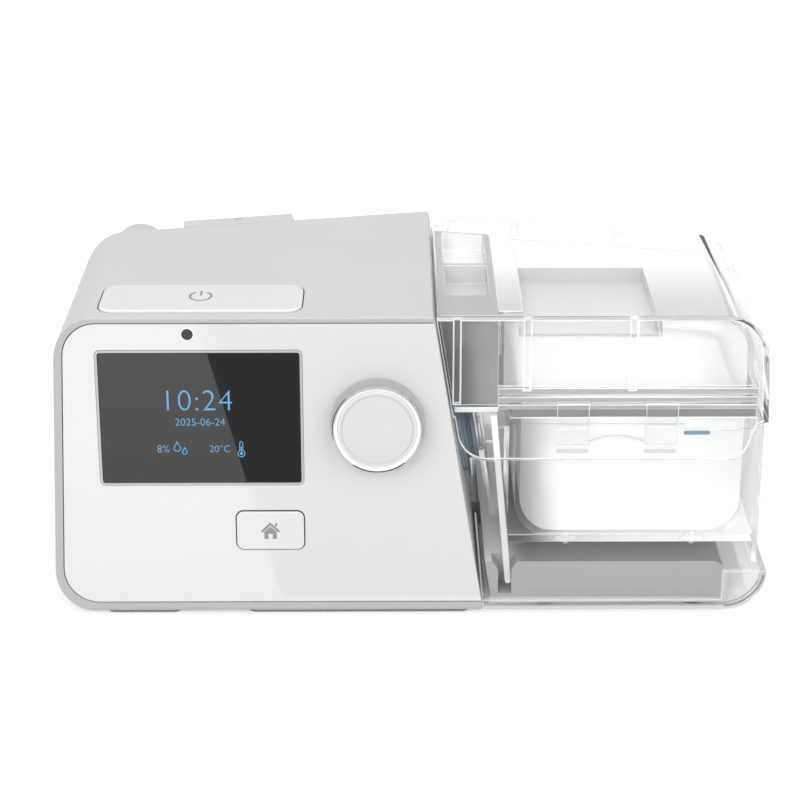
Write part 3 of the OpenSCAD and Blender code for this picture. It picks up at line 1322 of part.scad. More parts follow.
main_casing();
rear_casing();
seam_wall();
casing_floor();
bottom_cover();
front_panel();
display_frame();
display_window();
display_panel();
light_sensor();
main_board();
encoder();
encoder_plunger();
knob_shaft();
knob_body();
knob_ring();
knob_cap();
home_button();
power_button();
power_board();
blower_housing();
blower_lid();
blower_motor();
impeller();
blower_mount();
intake_duct();
delivery_duct();
return_riser();
return_channel();
return_cover();
outlet_collar();
air_outlet();
filter_pad();
filter_cover();
dc_inlet();
card_reader();
card_cover();
port_seal();
dock_socket();
dock_plug();
humidifier_base();
base_skirt();
heater_plate();
rear_panel();
hinge_pin();
flip_lid();
tank_lower();
tank_plate();
tank_seal();
tank_upper();
air_duct();
tank_clips();
rubber_feet();
cover_screws();
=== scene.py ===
"""Looks of the bilevel breathing machine with its docked humidifier.

Lengths are in millimetres and become metres where a piece gets its place; only the floor, the lamps and the camera
are placed in metres. The frame is that of the CAD model: +X is the humidifier side, +Y the back and +Z up, and the
table is at zero height.
"""

import json
import math

import bmesh
import bpy
from mathutils import Matrix, Vector

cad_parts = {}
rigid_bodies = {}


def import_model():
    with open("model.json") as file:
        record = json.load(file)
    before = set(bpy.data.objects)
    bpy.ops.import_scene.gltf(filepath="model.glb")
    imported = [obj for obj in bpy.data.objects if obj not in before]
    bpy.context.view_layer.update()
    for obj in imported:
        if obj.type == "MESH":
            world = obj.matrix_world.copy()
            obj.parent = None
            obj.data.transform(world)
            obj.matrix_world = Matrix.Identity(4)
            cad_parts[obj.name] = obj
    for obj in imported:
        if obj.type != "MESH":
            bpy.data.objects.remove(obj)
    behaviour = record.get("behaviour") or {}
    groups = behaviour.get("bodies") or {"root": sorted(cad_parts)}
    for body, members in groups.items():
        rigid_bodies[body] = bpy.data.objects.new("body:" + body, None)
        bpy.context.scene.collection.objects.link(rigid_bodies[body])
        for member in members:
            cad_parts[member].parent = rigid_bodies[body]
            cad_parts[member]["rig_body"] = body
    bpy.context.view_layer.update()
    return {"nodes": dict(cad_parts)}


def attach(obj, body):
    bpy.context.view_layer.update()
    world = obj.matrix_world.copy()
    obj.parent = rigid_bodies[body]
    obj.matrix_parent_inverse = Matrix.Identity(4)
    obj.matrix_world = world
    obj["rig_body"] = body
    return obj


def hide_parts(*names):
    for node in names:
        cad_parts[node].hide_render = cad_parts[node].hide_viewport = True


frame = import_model()

MM = 0.001

# Sizes of the machine: u runs across its leaning front face, v up it and w out of it

FACE_FOOT_Y = -72.5
FOOT_H = 1.5
FRONT_LEAN = 10.3
SEAM_LEAN = 9.66
ROOF_Z = 113.2
POWER_RISE = 0.8
POWER_X, POWER_Y = -76.5, -35.5
HOME_U, HOME_V = -52.2, 32.7
KNOB_U, KNOB_V = -12.5, 74.2
KNOB_DISC_R = 13.0
KNOB_RING_R = 15.6
SENSOR_U, SENSOR_V = -80.5, 107.4
GLASS_W = -0.096
INK_ROW_V = 64.2

# Sizes of the humidifier

FRONT_WALL_Y = -45.0
RIM_TOP = 6.0
SKIRT_CORNER_U, SKIRT_CORNER_V = 116.2, 17.3
BASE_TOP = 19.5
TANK_FLOOR = 26.0
FOOT_PLATE_TOP = TANK_FLOOR + 3.1
LOWER_WALL_TOP = TANK_FLOOR + 22
LOWER_RIM_Z = 71.0
SEAL_TOP = 85.0
GROOVES_Z = ((78.8, 80.0), (81.7, 82.9))
KNEE_Z = 76.0
POCKET_FLOOR = 103.0
TANK_TOP = 109.4
RECESS_D = 5.0
TANK_WALL_W = -4.78
CLIPS_U = (59.0, 91.2)
FOOT_BOSSES_U = (57.5, 104.5)

# Places on the machine

FACE = Matrix.Translation(Vector((0, FACE_FOOT_Y, FOOT_H)) * MM) @ Matrix.Rotation(
    math.radians(90 - FRONT_LEAN), 4, "X"
)


def on_face(u, v, w=0.0):
    """Place on the leaning front face: u across, v up the face and w out of it."""
    return FACE @ Matrix.Translation(Vector((u, v, w)) * MM)


def on_roof(x, y, z):
    """Place on something level: x across and y towards the back."""
    return Matrix.Translation(Vector((x, y, z)) * MM)


# Parts of finishes


def new_finish(name):
    """An empty material with its surface shader, and the node tree that it lives in."""
    finish = bpy.data.materials.new(name)
    finish.use_nodes = True
    tree = finish.node_tree
    shader = tree.nodes["Principled BSDF"]
    return finish, tree, shader


def surface_noise(tree, scale, detail=3.0, stretch=(1, 1, 1)):
    """A noise pattern fixed to the piece, in cycles per metre."""
    place = tree.nodes.new("ShaderNodeTexCoord")
    turn = tree.nodes.new("ShaderNodeMapping")
    turn.inputs["Scale"].default_value = stretch
    noise = tree.nodes.new("ShaderNodeTexNoise")
    noise.inputs["Scale"].default_value = scale
    noise.inputs["Detail"].default_value = detail
    tree.links.new(place.outputs["Object"], turn.inputs["Vector"])
    tree.links.new(turn.outputs["Vector"], noise.inputs["Vector"])
    return noise.outputs["Fac"]


def between(tree, share, low, high):
    """Turns a share from 0 to 1 into a value between two others."""
    span = tree.nodes.new("ShaderNodeMapRange")
    span.inputs["To Min"].default_value = low
    span.inputs["To Max"].default_value = high
    tree.links.new(share, span.inputs["Value"])
    return span.outputs["Result"]


def fade(tree, share, first, second, start=0.0, end=1.0):
    """Goes from one colour to the other between two places of the share."""
    ramp = tree.nodes.new("ShaderNodeValToRGB")
    for stop, place, colour in zip(ramp.color_ramp.elements, (start, end), (first, second)):
        stop.position = place
        stop.color = (*colour, 1)
    tree.links.new(share, ramp.inputs["Fac"])
    return ramp.outputs["Color"]


def vary_colour(tree, shader, colour, scale, spread):
    """Slow change of the colour over the piece, as moulded plastic has."""
    dark = [c * (1 - spread) for c in colour]
    pale = [min(1, c * (1 + spread)) for c in colour]
    shades = fade(tree, surface_noise(tree, scale), dark, pale, 0.3, 0.7)
    tree.links.new(shades, shader.inputs["Base Color"])


def vary_gloss(tree, shader, low, high, scale):
    """Roughness that wanders between two values."""
    tree.links.new(between(tree, surface_noise(tree, scale, 4.0), low, high), shader.inputs["Roughness"])


def add_grain(tree, shader, scale, depth, stretch=(1, 1, 1)):
    """Fine relief of the surface; depth is in millimetres."""
    bump = tree.nodes.new("ShaderNodeBump")
    bump.inputs["Strength"].default_value = 0.6
    bump.inputs["Distance"].default_value = depth * MM
    tree.links.new(surface_noise(tree, scale, 2.0, stretch), bump.inputs["Height"])
    tree.links.new(bump.outputs["Normal"], shader.inputs["Normal"])


def add_coat(shader, weight, roughness):
    """A clear gloss layer over the finish."""
    shader.inputs["Coat Weight"].default_value = weight
    shader.inputs["Coat Roughness"].default_value = roughness


def let_lamps_through(tree, shader, tint):
    """Rays from lamps go straight through clear plastic, so that it throws only a faint shadow."""
    ray = tree.nodes.new("ShaderNodeLightPath")
    through = tree.nodes.new("ShaderNodeBsdfTransparent")
    through.inputs["Color"].default_value = (*[0.97 * c for c in tint], 1)
    pick = tree.nodes.new("ShaderNodeMixShader")
    tree.links.new(ray.outputs["Is Shadow Ray"], pick.inputs["Fac"])
    tree.links.new(shader.outputs["BSDF"], pick.inputs[1])
    tree.links.new(through.outputs["BSDF"], pick.inputs[2])
    tree.links.new(pick.outputs["Shader"], tree.nodes["Material Output"].inputs["Surface"])


# Kinds of finishes


def moulded_plastic(name, colour, gloss, grain=1500.0, depth=0.02, coat=0.0, spread=0.012):
    """Opaque plastic or rubber; gloss is its lowest and highest roughness, and depth that of its grain."""
    finish, tree, shader = new_finish(name)
    vary_colour(tree, shader, colour, 18, spread)
    vary_gloss(tree, shader, *gloss, 60)
    if depth:
        add_grain(tree, shader, grain, depth)
    add_coat(shader, coat, 0.04)
    return finish


def clear_plastic(name, tint, gloss, ior, straight, slanting, rim, coat=0.3):
    """Clear plastic that lamps shine through: milkier and darker where the view through it is slanting."""
    finish, tree, shader = new_finish(name)
    vary_gloss(tree, shader, gloss * 0.7, gloss * 1.4, 40)
    slant = tree.nodes.new("ShaderNodeLayerWeight")
    slant.inputs["Blend"].default_value = 0.35
    facing = slant.outputs["Facing"]
    tree.links.new(between(tree, facing, straight, slanting), shader.inputs["Transmission Weight"])
    tree.links.new(fade(tree, facing, tint, [rim * c for c in tint], 0.7, 1.0), shader.inputs["Base Color"])
    shader.inputs["IOR"].default_value = ior
    add_coat(shader, coat, 0.03)
    let_lamps_through(tree, shader, tint)
    return finish


def frosted_plastic(name, colour, see_through, blur, painted_shading=None):
    """Milky plastic. The last argument, when given, paints light and shade into its colour: a second colour, the
    axis, and the places in millimetres between which the colour fades from the second one to the first.
    """
    finish, tree, shader = new_finish(name)
    if painted_shading:
        dark, axis, start, end = painted_shading
        place = tree.nodes.new("ShaderNodeTexCoord")
        split = tree.nodes.new("ShaderNodeSeparateXYZ")
        along = tree.nodes.new("ShaderNodeMapRange")
        along.interpolation_type = "SMOOTHSTEP"
        along.inputs["From Min"].default_value = start * MM
        along.inputs["From Max"].default_value = end * MM
        tree.links.new(place.outputs["Object"], split.inputs["Vector"])
        tree.links.new(split.outputs[axis], along.inputs["Value"])
        tree.links.new(fade(tree, along.outputs["Result"], dark, colour), shader.inputs["Base Color"])
    else:
        vary_colour(tree, shader, colour, 25, 0.01)
    vary_gloss(tree, shader, blur * 0.9, blur * 1.1, 60)
    add_grain(tree, shader, 2200, 0.015)
    shader.inputs["Transmission Weight"].default_value = see_through
    shader.inputs["IOR"].default_value = 1.1
    let_lamps_through(tree, shader, colour)
    return finish


def striped_rubber(name, colour, dark, pitch):
    """Rubber with fine ribs side by side along X, slanted as the seam is."""
    finish, tree, shader = new_finish(name)
    place = tree.nodes.new("ShaderNodeTexCoord")
    turn = tree.nodes.new("ShaderNodeMapping")
    turn.inputs["Rotation"].default_value = (0, math.radians(SEAM_LEAN), 0)
    ribs = tree.nodes.new("ShaderNodeTexWave")
    waves_per_scale = 0.314
    ribs.inputs["Scale"].default_value = waves_per_scale / (pitch * MM)
    ribs.inputs["Distortion"].default_value = 0.2
    tree.links.new(place.outputs["Object"], turn.inputs["Vector"])
    tree.links.new(turn.outputs["Vector"], ribs.inputs["Vector"])
    tree.links.new(fade(tree, ribs.outputs["Fac"], dark, colour, 0.35, 0.65), shader.inputs["Base Color"])
    vary_gloss(tree, shader, 0.5, 0.6, 60)
    add_grain(tree, shader, 1500, 0.03)
    return finish


def bright_edge(name, colour):
    """Painted highlight on the edges of clear mouldings: pale plastic that stands in for the light which runs
    inside them and comes out at their edges.
    """
    finish, tree, shader = new_finish(name)
    vary_colour(tree, shader, colour, 30, 0.03)
    vary_gloss(tree, shader, 0.12, 0.2, 60)
    shader.inputs["Transmission Weight"].default_value = 0.35
    shader.inputs["IOR"].default_value = 1.2
    let_lamps_through(tree, shader, colour)
    return finish


def bare_metal(name, colour, gloss, brush=(1, 1, 1), depth=0.004):
    """Metal; brush stretches its grain."""
    finish, tree, shader = new_finish(name)
    vary_colour(tree, shader, colour, 30, 0.02)
    vary_gloss(tree, shader, *gloss, 120)
    add_grain(tree, shader, 900, depth, brush)
    shader.inputs["Metallic"].default_value = 1.0
    return finish


def lit_ink(name, colour, strength):
    """Lit segments of the display."""
    finish, tree, shader = new_finish(name)
    vary_colour(tree, shader, colour, 60, 0.03)
    shader.inputs["Roughness"].default_value = 0.3
    shader.inputs["Emission Color"].default_value = (*colour, 1)
    shader.inputs["Emission Strength"].default_value = strength
    return finish


# The finishes

casing_grey = moulded_plastic("casing_grey", (0.70, 0.70, 0.705), (0.40, 0.48), depth=0.012)
gloss_white = moulded_plastic("gloss_white", (0.82, 0.82, 0.82), (0.06, 0.1), depth=0.0, coat=0.5, spread=0.005)
button_white = moulded_plastic("button_white", (0.825, 0.825, 0.835), (0.28, 0.34), depth=0.006, spread=0.005)
knob_satin = moulded_plastic("knob_satin", (0.745, 0.745, 0.75), (0.28, 0.34), depth=0.006, spread=0.005)
# Brighter white: painted highlight on the rounded edges of the two buttons, and the white rings of the knob and
# round the light sensor.
rim_white = moulded_plastic("rim_white", (0.98, 0.98, 0.985), (0.08, 0.12), depth=0.0, coat=0.5, spread=0.005)
screen_black = moulded_plastic(
    "screen_black", (0.028, 0.028, 0.029), (0.004, 0.012), depth=0.0, coat=0.15, spread=0.02
)
frame_silver = moulded_plastic("frame_silver", (0.56, 0.56, 0.565), (0.15, 0.2), depth=0.0, coat=0.3)
# Darker copy of the casing's grey: painted shade on the casing's front faces; also the colour of the thin lines on
# the tank.
rim_grey = moulded_plastic("rim_grey", (0.52, 0.52, 0.523), (0.40, 0.48), depth=0.012)
knob_grey = moulded_plastic("knob_grey", (0.52, 0.52, 0.523), (0.35, 0.42), depth=0.006)
# Painted light: the seam wall is of the casing's plastic, painted paler to make up for the shade inside the
# humidifier.
seam_painted_light = moulded_plastic("seam_painted_light", (0.86, 0.86, 0.865), (0.40, 0.48), depth=0.012)
# Near black for the painted shade in the gaps round the two buttons.
gap_shade_black = moulded_plastic("gap_shade_black", (0.04, 0.04, 0.042), (0.6, 0.7), depth=0.0)
# Grey of the printed signs, and of the painted dark reflections on the skirt's round corner.
icon_grey = moulded_plastic("icon_grey", (0.30, 0.305, 0.315), (0.4, 0.5), depth=0.0)
dark_plastic = moulded_plastic("dark_plastic", (0.03, 0.032, 0.035), (0.4, 0.5))
inner_grey = moulded_plastic("inner_grey", (0.30, 0.31, 0.33), (0.45, 0.55), depth=0.03)
base_grey = moulded_plastic("base_grey", (0.42, 0.42, 0.425), (0.42, 0.5), depth=0.015)
board_green = moulded_plastic("board_green", (0.02, 0.10, 0.05), (0.3, 0.4), grain=4000, depth=0.03, spread=0.1)
seal_grey = moulded_plastic("seal_grey", (0.16, 0.165, 0.17), (0.6, 0.7), depth=0.04)
foot_rubber = moulded_plastic("foot_rubber", (0.25, 0.25, 0.255), (0.7, 0.8), depth=0.05)
outlet_white = moulded_plastic("outlet_white", (0.72, 0.725, 0.73), (0.3, 0.36), depth=0.008)
filter_fibre = moulded_plastic("filter_fibre", (0.80, 0.81, 0.83), (0.8, 0.9), grain=2500, depth=0.4, spread=0.06)
level_blue = moulded_plastic("level_blue", (0.10, 0.20, 0.28), (0.4, 0.5), depth=0.0)
seal_blue = striped_rubber("seal_blue", (0.15, 0.26, 0.36), (0.32, 0.34, 0.36), 1.3)

knob_chrome = bare_metal("knob_chrome", (0.56, 0.565, 0.575), (0.05, 0.1), depth=0.0005)
brushed_steel = bare_metal("brushed_steel", (0.55, 0.56, 0.57), (0.25, 0.35), brush=(1, 12, 1))
pale_steel = bare_metal("pale_steel", (0.85, 0.85, 0.86), (0.3, 0.4), brush=(1, 12, 1))

lid_clear = clear_plastic("lid_clear", (1.0, 1.0, 1.0), 0.02, 1.2, 1.0, 0.9, 0.8)
tank_clear = clear_plastic("tank_clear", (0.998, 0.999, 0.999), 0.05, 1.2, 1.0, 0.85, 0.8)
skirt_clear = clear_plastic("skirt_clear", (0.99, 0.992, 0.994), 0.05, 1.2, 0.97, 0.8, 0.8)
panel_clear = clear_plastic("panel_clear", (0.996, 0.998, 0.998), 0.08, 1.15, 0.99, 0.85, 0.8)
duct_smoke = clear_plastic("duct_smoke", (0.50, 0.503, 0.506), 0.15, 1.15, 0.7, 0.4, 0.7)
duct_veil = clear_plastic("duct_veil", (0.93, 0.932, 0.935), 0.1, 1.1, 0.97, 0.85, 0.8, 0.1)

tank_frost = frosted_plastic("tank_frost", (0.93, 0.932, 0.934), 0.6, 0.5)
# Painted shade: the frosted roof of the tank is painted darker towards its front.
roof_frost = frosted_plastic(
    "roof_frost", (0.80, 0.802, 0.804), 0.06, 0.5, ((0.47, 0.472, 0.474), "Y", -44, 20)
)
# Painted shade in the sunk part of the tank's roof: a darker copy of the roof's frosted plastic, darkest towards
# the back of the recess.
recess_shaded_frost = frosted_plastic(
    "recess_shaded_frost", (0.52, 0.522, 0.524), 0.06, 0.5, ((0.60, 0.602, 0.604), "Y", -45, -5)
)
# Milky white floor of the tank with painted shade: darker towards the left, where the main unit shades it.
tank_milk = frosted_plastic(
    "tank_milk", (0.93, 0.932, 0.934), 0.12, 0.5, ((0.30, 0.302, 0.305), "X", 40, 58)
)
# Painted shade on the front of the lower tank: its hazy white is painted darker towards the left, next to the main
# unit.
front_haze = frosted_plastic(
    "front_haze", (0.995, 0.996, 0.997), 0.8, 0.13, ((0.42, 0.422, 0.425), "X", 38, 57)
)
# Painted shade on the front of the upper tank: darker along its left edge.
upper_haze = frosted_plastic(
    "upper_haze", (0.995, 0.996, 0.997), 0.85, 0.16, ((0.62, 0.622, 0.625), "X", 34, 42)
)
fin_grey = frosted_plastic("fin_grey", (0.38, 0.382, 0.385), 0.3, 0.2)
# Painted shade: near black in the two grooves of the upper tank's flange.
groove_grey = frosted_plastic("groove_grey", (0.05, 0.051, 0.053), 0.05, 0.3)
# Painted light: the clear skirt's lower front rim and its round corner are painted milky and pale, standing in for
# the light that the clear plastic shows there.
skirt_milk = frosted_plastic("skirt_milk", (0.80, 0.802, 0.805), 0.2, 0.2)
skirt_pale = frosted_plastic("skirt_pale", (0.92, 0.922, 0.924), 0.4, 0.2)
# Painted shadow of the tank on the top of the humidifier's base, painted lighter again towards its left end.
base_shade = frosted_plastic(
    "base_shade", (0.30, 0.302, 0.304), 0.0, 0.5, ((0.72, 0.722, 0.724), "X", 30, 44)
)
# Painted shade on the front of the air duct: darker towards the left, next to the main unit.
duct_front = frosted_plastic(
    "duct_front", (0.27, 0.272, 0.275), 0.2, 0.3, ((0.10, 0.101, 0.103), "X", 12, 31)
)
leg_white = frosted_plastic("leg_white", (0.93, 0.932, 0.934), 0.25, 0.15)
duct_pale = frosted_plastic("duct_pale", (0.37, 0.372, 0.375), 0.3, 0.3)
# The two pockets of the duct are the same frosted plastic; the front one is painted darker, as painted shade.
pocket_white = frosted_plastic("pocket_white", (0.93, 0.932, 0.934), 0.1, 0.4)
pocket_grey = frosted_plastic("pocket_grey", (0.60, 0.602, 0.605), 0.1, 0.4)
arch_grey = frosted_plastic("arch_grey", (0.78, 0.782, 0.785), 0.25, 0.3)
# Painted highlight for the edges of the clear pieces.
edge_highlight = bright_edge("edge_highlight", (0.95, 0.955, 0.96))
screen_ink = lit_ink("screen_ink", (0.13, 0.36, 0.62), 0.18)

# Making pieces: doubles lie this near in metres, and the angles are in degrees

DOUBLES_APART = 2e-6
FLAT_WITHIN = 0.3
SMOOTH_WITHIN = 28
ROUNDED_FROM = 35


def placed_mesh(name, bm, finish):
    """Turns a bmesh into an object of the scene with one finish."""
    mesh = bpy.data.meshes.new(name)
    bm.to_mesh(mesh)
    bm.free()
    piece = bpy.data.objects.new(name, mesh)
    bpy.context.scene.collection.objects.link(piece)
    mesh.materials.append(finish)
    return piece


def as_piece(name, bm, body, finish, place):
    """Closes a bmesh, drawn in millimetres, as a piece of the object that moves with that body."""
    bmesh.ops.scale(bm, vec=(MM, MM, MM), verts=bm.verts)
    bmesh.ops.transform(bm, matrix=place, verts=bm.verts)
    bmesh.ops.recalc_face_normals(bm, faces=bm.faces)
    piece = placed_mesh(name, bm, finish)
    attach(piece, body)
    return piece


def soften(piece, width, segments):
    """Rounds the sharp edges of a piece, width in millimetres."""
    rounding = piece.modifiers.new("edges", "BEVEL")
    rounding.width = width * MM
    rounding.segments = segments
    rounding.limit_method = "ANGLE"
    rounding.angle_limit = math.radians(ROUNDED_FROM)
    rounding.use_clamp_overlap = True
    rounding.harden_normals = True
    return rounding


def dressed(node, finish, width=0.0, segments=2, rim=None, zones=(), lined=None):
    """A copy of a CAD node with its doubles merged, its curves smooth and its edges rounded.

    Where rim names a second finish, the rounded edges have that one. Each zone is a finish and a test of a face's
    centre, in millimetres, and its normal. Where lined is given, it tests which edges are rounded.
    """
    source = frame["nodes"][node]
    bm = bmesh.new()
    bm.from_mesh(source.data)
    bmesh.ops.remove_doubles(bm, verts=bm.verts, dist=DOUBLES_APART)
    bmesh.ops.dissolve_limit(
        bm, angle_limit=math.radians(FLAT_WITHIN), verts=bm.verts, edges=bm.edges, use_dissolve_boundaries=False
    )
    for face in bm.faces:
        face.smooth = True
    for edge in bm.edges:
        edge.smooth = len(edge.link_faces) == 2 and edge.calc_face_angle(0) < math.radians(SMOOTH_WITHIN)
    if lined:
        share = bm.edges.layers.float.new("bevel_weight_edge")
        for edge in bm.edges:
            middle = (edge.verts[0].co + edge.verts[1].co) / 2 / MM
            edge[share] = float(not edge.smooth and lined(middle))
    piece = placed_mesh("dressed_" + node, bm, finish)
    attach(piece, source["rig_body"])
    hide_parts(node)
    materials = piece.data.materials
    if width:
        rounding = soften(piece, width, segments)
    if rim:
        materials.append(rim)
        rounding.material = 1
        rounding.use_clamp_overlap = False
        rounding.harden_normals = False
    if lined:
        rounding.limit_method = "WEIGHT"
    for other, picked in zones:
        materials.append(other)
        for face in piece.data.polygons:
            if picked(face.center / MM, face.normal):
                face.material_index = len(materials) - 1
    return piece


# Tests of places on the pieces, in millimetres


def off_knob_axis(centre):
    """How far a point is from the knob's axis."""
    flat = FACE.inverted() @ (centre * MM) / MM
    return math.hypot(flat.x - KNOB_U, flat.y - KNOB_V)


def at_front(centre, normal):
    """Faces of the front walls that look to the front."""
    return normal.y < -0.5 and centre.y < FRONT_WALL_Y


def behind_face(centre):
    """How far a point is behind the leaning front, along the depth."""
    return centre.y - FACE_FOOT_Y - (centre.z - FOOT_H) * math.tan(math.radians(FRONT_LEAN))


def in_grooves(z):
    """Heights of the two grooves in the flange of the upper tank."""
    return any(low < z < high for low, high in GROOVES_Z)


def in_recess(centre, normal):
    """Floor and walls of the sunk part of the tank's roof, which are given painted shade."""
    inside = 40 < centre.x < 90 and centre.y > -55 and TANK_TOP - RECESS_D - 0.1 < centre.z < TANK_TOP - 0.1
    return inside and (normal.z > 0.5 or normal.y < -0.5 or abs(normal.x) > 0.5)


def in_pockets(centre, normal):
    """Floors and rear walls of the two pockets in the top of the air duct."""
    inside = centre.x < 30 and centre.y > -40 and POCKET_FLOOR - 0.1 < centre.z < TANK_TOP
    return inside and (normal.z > 0.7 or normal.y < -0.5)


def on_leg(centre):
    """The slanted guide leg in front of the air duct."""
    leg_middle = 36.3 - (centre.z - 10) * 0.098
    return centre.z < KNEE_Z and behind_face(centre) < 6.4 and abs(centre.x - leg_middle) < 1.8


def is_arch(centre):
    """The raised arch on the front of the air duct."""
    return KNEE_Z < centre.z < 94 and behind_face(centre) < 6.4


# The pieces of the CAD model

FINISH_OF = {
    "return_riser": inner_grey,
    "return_channel": inner_grey,
    "return_cover": inner_grey,
    "bottom_cover": inner_grey,
    "display_panel": dark_plastic,
    "light_sensor": screen_black,
    "main_board": board_green,
    "encoder": dark_plastic,
    "encoder_plunger": dark_plastic,
    "knob_shaft": brushed_steel,
    "power_board": board_green,
    "blower_housing": inner_grey,
    "blower_lid": inner_grey,
    "blower_motor": brushed_steel,
    "impeller": button_white,
    "blower_mount": seal_grey,
    "intake_duct": inner_grey,
    "delivery_duct": inner_grey,
    "filter_pad": filter_fibre,
    "dc_inlet": dark_plastic,
    "card_reader": brushed_steel,
    "dock_socket": base_grey,
    "dock_plug": base_grey,
    "heater_plate": pale_steel,
    "hinge_pin": brushed_steel,
    "tank_plate": pale_steel,
    "rubber_feet": foot_rubber,
    "cover_screws": brushed_steel,
}
for node, finish in FINISH_OF.items():
    mesh = frame["nodes"][node].data
    mesh.materials.clear()
    mesh.materials.append(finish)

# The casing's front faces are painted darker than its roof, as painted shade.
dressed("main_casing", casing_grey, zones=[(rim_grey, lambda c, n: n.y < -0.8 and c.y < FRONT_WALL_Y)])
dressed("rear_casing", casing_grey)
dressed("casing_floor", casing_grey)
# the seam wall, with painted light
dressed("seam_wall", seam_painted_light)
dressed("front_panel", gloss_white, 0.35)
dressed("display_frame", frame_silver, 0.12)
dressed("display_window", screen_black, 0.15)
dressed("knob_body", knob_grey)
dressed("knob_ring", knob_chrome, zones=[(rim_white, lambda c, n: off_knob_axis(c) < KNOB_RING_R)])
dressed("knob_cap", knob_satin, zones=[(rim_white, lambda c, n: off_knob_axis(c) > KNOB_DISC_R - 0.2)])
# The buttons' rounded edges get a painted highlight.
dressed("home_button", button_white, 0.3, rim=rim_white)
dressed("power_button", button_white, 0.35, rim=rim_white)
dressed("outlet_collar", casing_grey)
dressed("air_outlet", outlet_white)
dressed("filter_cover", casing_grey, 0.25)
dressed("card_cover", inner_grey, 0.15)
dressed("port_seal", seal_blue)
# The top of the base gets the painted shadow of the tank.
dressed("humidifier_base", base_grey, zones=[(base_shade, lambda c, n: n.z > 0.7 and c.z > BASE_TOP - 4)])
# The clear pieces below have painted highlights on their rounded edges, and some on zones of their faces.
dressed(
    "base_skirt", skirt_clear, 0.3, 1, rim=edge_highlight,
    zones=[
        # painted light on the skirt's round corner and lower front rim
        (skirt_pale, lambda c, n: n.x > 0.2 and n.z < -0.1 and c.z < RIM_TOP + 14),
        (skirt_milk, lambda c, n: (n.y < -0.15 or n.z < -0.5) and c.z < RIM_TOP),
    ],
    lined=lambda c: c.x > 36,
)
dressed("rear_panel", panel_clear, 0.2, 1, rim=edge_highlight)
dressed(
    "flip_lid", lid_clear, 0.3, 1, rim=edge_highlight,
    # painted highlight along the rounded front edge of the lid's top
    zones=[(edge_highlight, lambda c, n: c.z > ROOF_Z - 3 and 0.3 < n.z < 0.85 and n.y < -0.4)],
)
dressed(
    "tank_lower", tank_clear, 0.25, 1, rim=edge_highlight,
    zones=[
        (tank_frost, lambda c, n: n.y > 0.3 or abs(n.x) > 0.6),
        # the tank's floor and the fillets round it: milky white with painted shade towards the left
        (tank_milk, lambda c, n: abs(n.z) > 0.2 and c.z < LOWER_WALL_TOP),
        # the front of the lower tank, with painted shade towards the left
        (front_haze, lambda c, n: at_front(c, n) and c.z < SEAL_TOP),
        # painted highlight on the front edge of the tank's foot plate
        (edge_highlight, lambda c, n: at_front(c, n) and c.z < FOOT_PLATE_TOP),
    ],
    lined=lambda c: c.x > 40 and c.y < FRONT_WALL_Y and (c.z < FOOT_PLATE_TOP or c.z > LOWER_RIM_Z),
)
dressed("tank_seal", seal_grey)
dressed(
    "tank_upper", tank_clear, 0.25, 1, rim=edge_highlight,
    zones=[
        (tank_frost, lambda c, n: c.z > SEAL_TOP and n.y > -0.5),
        # the roof, with painted shade towards its front
        (roof_frost, lambda c, n: c.z > TANK_TOP - 2 and n.z > 0.5),
        # painted shade in the recess of the roof
        (recess_shaded_frost, in_recess),
        # the front of the upper tank, with painted shade along its left edge
        (upper_haze, lambda c, n: at_front(c, n) and c.z > SEAL_TOP),
        (fin_grey, lambda c, n: at_front(c, n) and c.z < SEAL_TOP),
        # painted shade in the grooves
        (groove_grey, lambda c, n: at_front(c, n) and in_grooves(c.z)),
    ],
    lined=lambda c: c.y < FRONT_WALL_Y and c.z < SEAL_TOP + 0.3 or c.z > TANK_TOP + 0.1,
)
dressed(
    "air_duct", duct_smoke, 0.2, 1, rim=edge_highlight,
    zones=[
        # the duct's front, with painted shade towards the left
        (duct_front, lambda c, n: at_front(c, n) and c.z > KNEE_Z),
        (duct_pale, lambda c, n: n.z > 0.7 and c.z > POCKET_FLOOR + 1),
        # the front pocket with painted shade, the rear one pale
        (pocket_grey, lambda c, n: in_pockets(c, n) and c.y < 2),
        (pocket_white, lambda c, n: in_pockets(c, n) and c.y > 2),
        (arch_grey, lambda c, n: n.y < -0.5 and is_arch(c)),
        (duct_veil, lambda c, n: c.z < KNEE_Z - 1 and not on_leg(c)),
        (leg_white, lambda c, n: on_leg(c)),
    ],
    lined=lambda c: c.z > KNEE_Z - 1 or on_leg(c),
)
dressed("tank_clips", tank_clear, 0.2, 1, rim=edge_highlight)

# Drawing flat things, in millimetres


def raised(bm, face, thick, line=0.0):
    """Raises a flat face by its thickness; with a line width only a line along its outline stays."""
    drawn = [face]
    if line:
        face.normal_update()
        drawn = bmesh.ops.inset_region(
            bm, faces=[face], thickness=line, use_boundary=True, use_even_offset=True
        )["faces"]
        bmesh.ops.delete(bm, geom=[face], context="FACES_ONLY")
    moved = bmesh.ops.extrude_face_region(bm, geom=drawn)
    up = [v for v in moved["geom"] if isinstance(v, bmesh.types.BMVert)]
    bmesh.ops.translate(bm, vec=(0, 0, thick), verts=up)


def flat_outline(bm, points, thick, line=0.0):
    """A flat closed shape raised by its thickness."""
    corners = [bm.verts.new((x, y, 0)) for x, y in points]
    raised(bm, bm.faces.new(corners), thick, line)


def bar(bm, x0, y0, x1, y1, thick):
    """A flat rectangle raised by its thickness."""
    flat_outline(bm, [(x0, y0), (x1, y0), (x1, y1), (x0, y1)], thick)


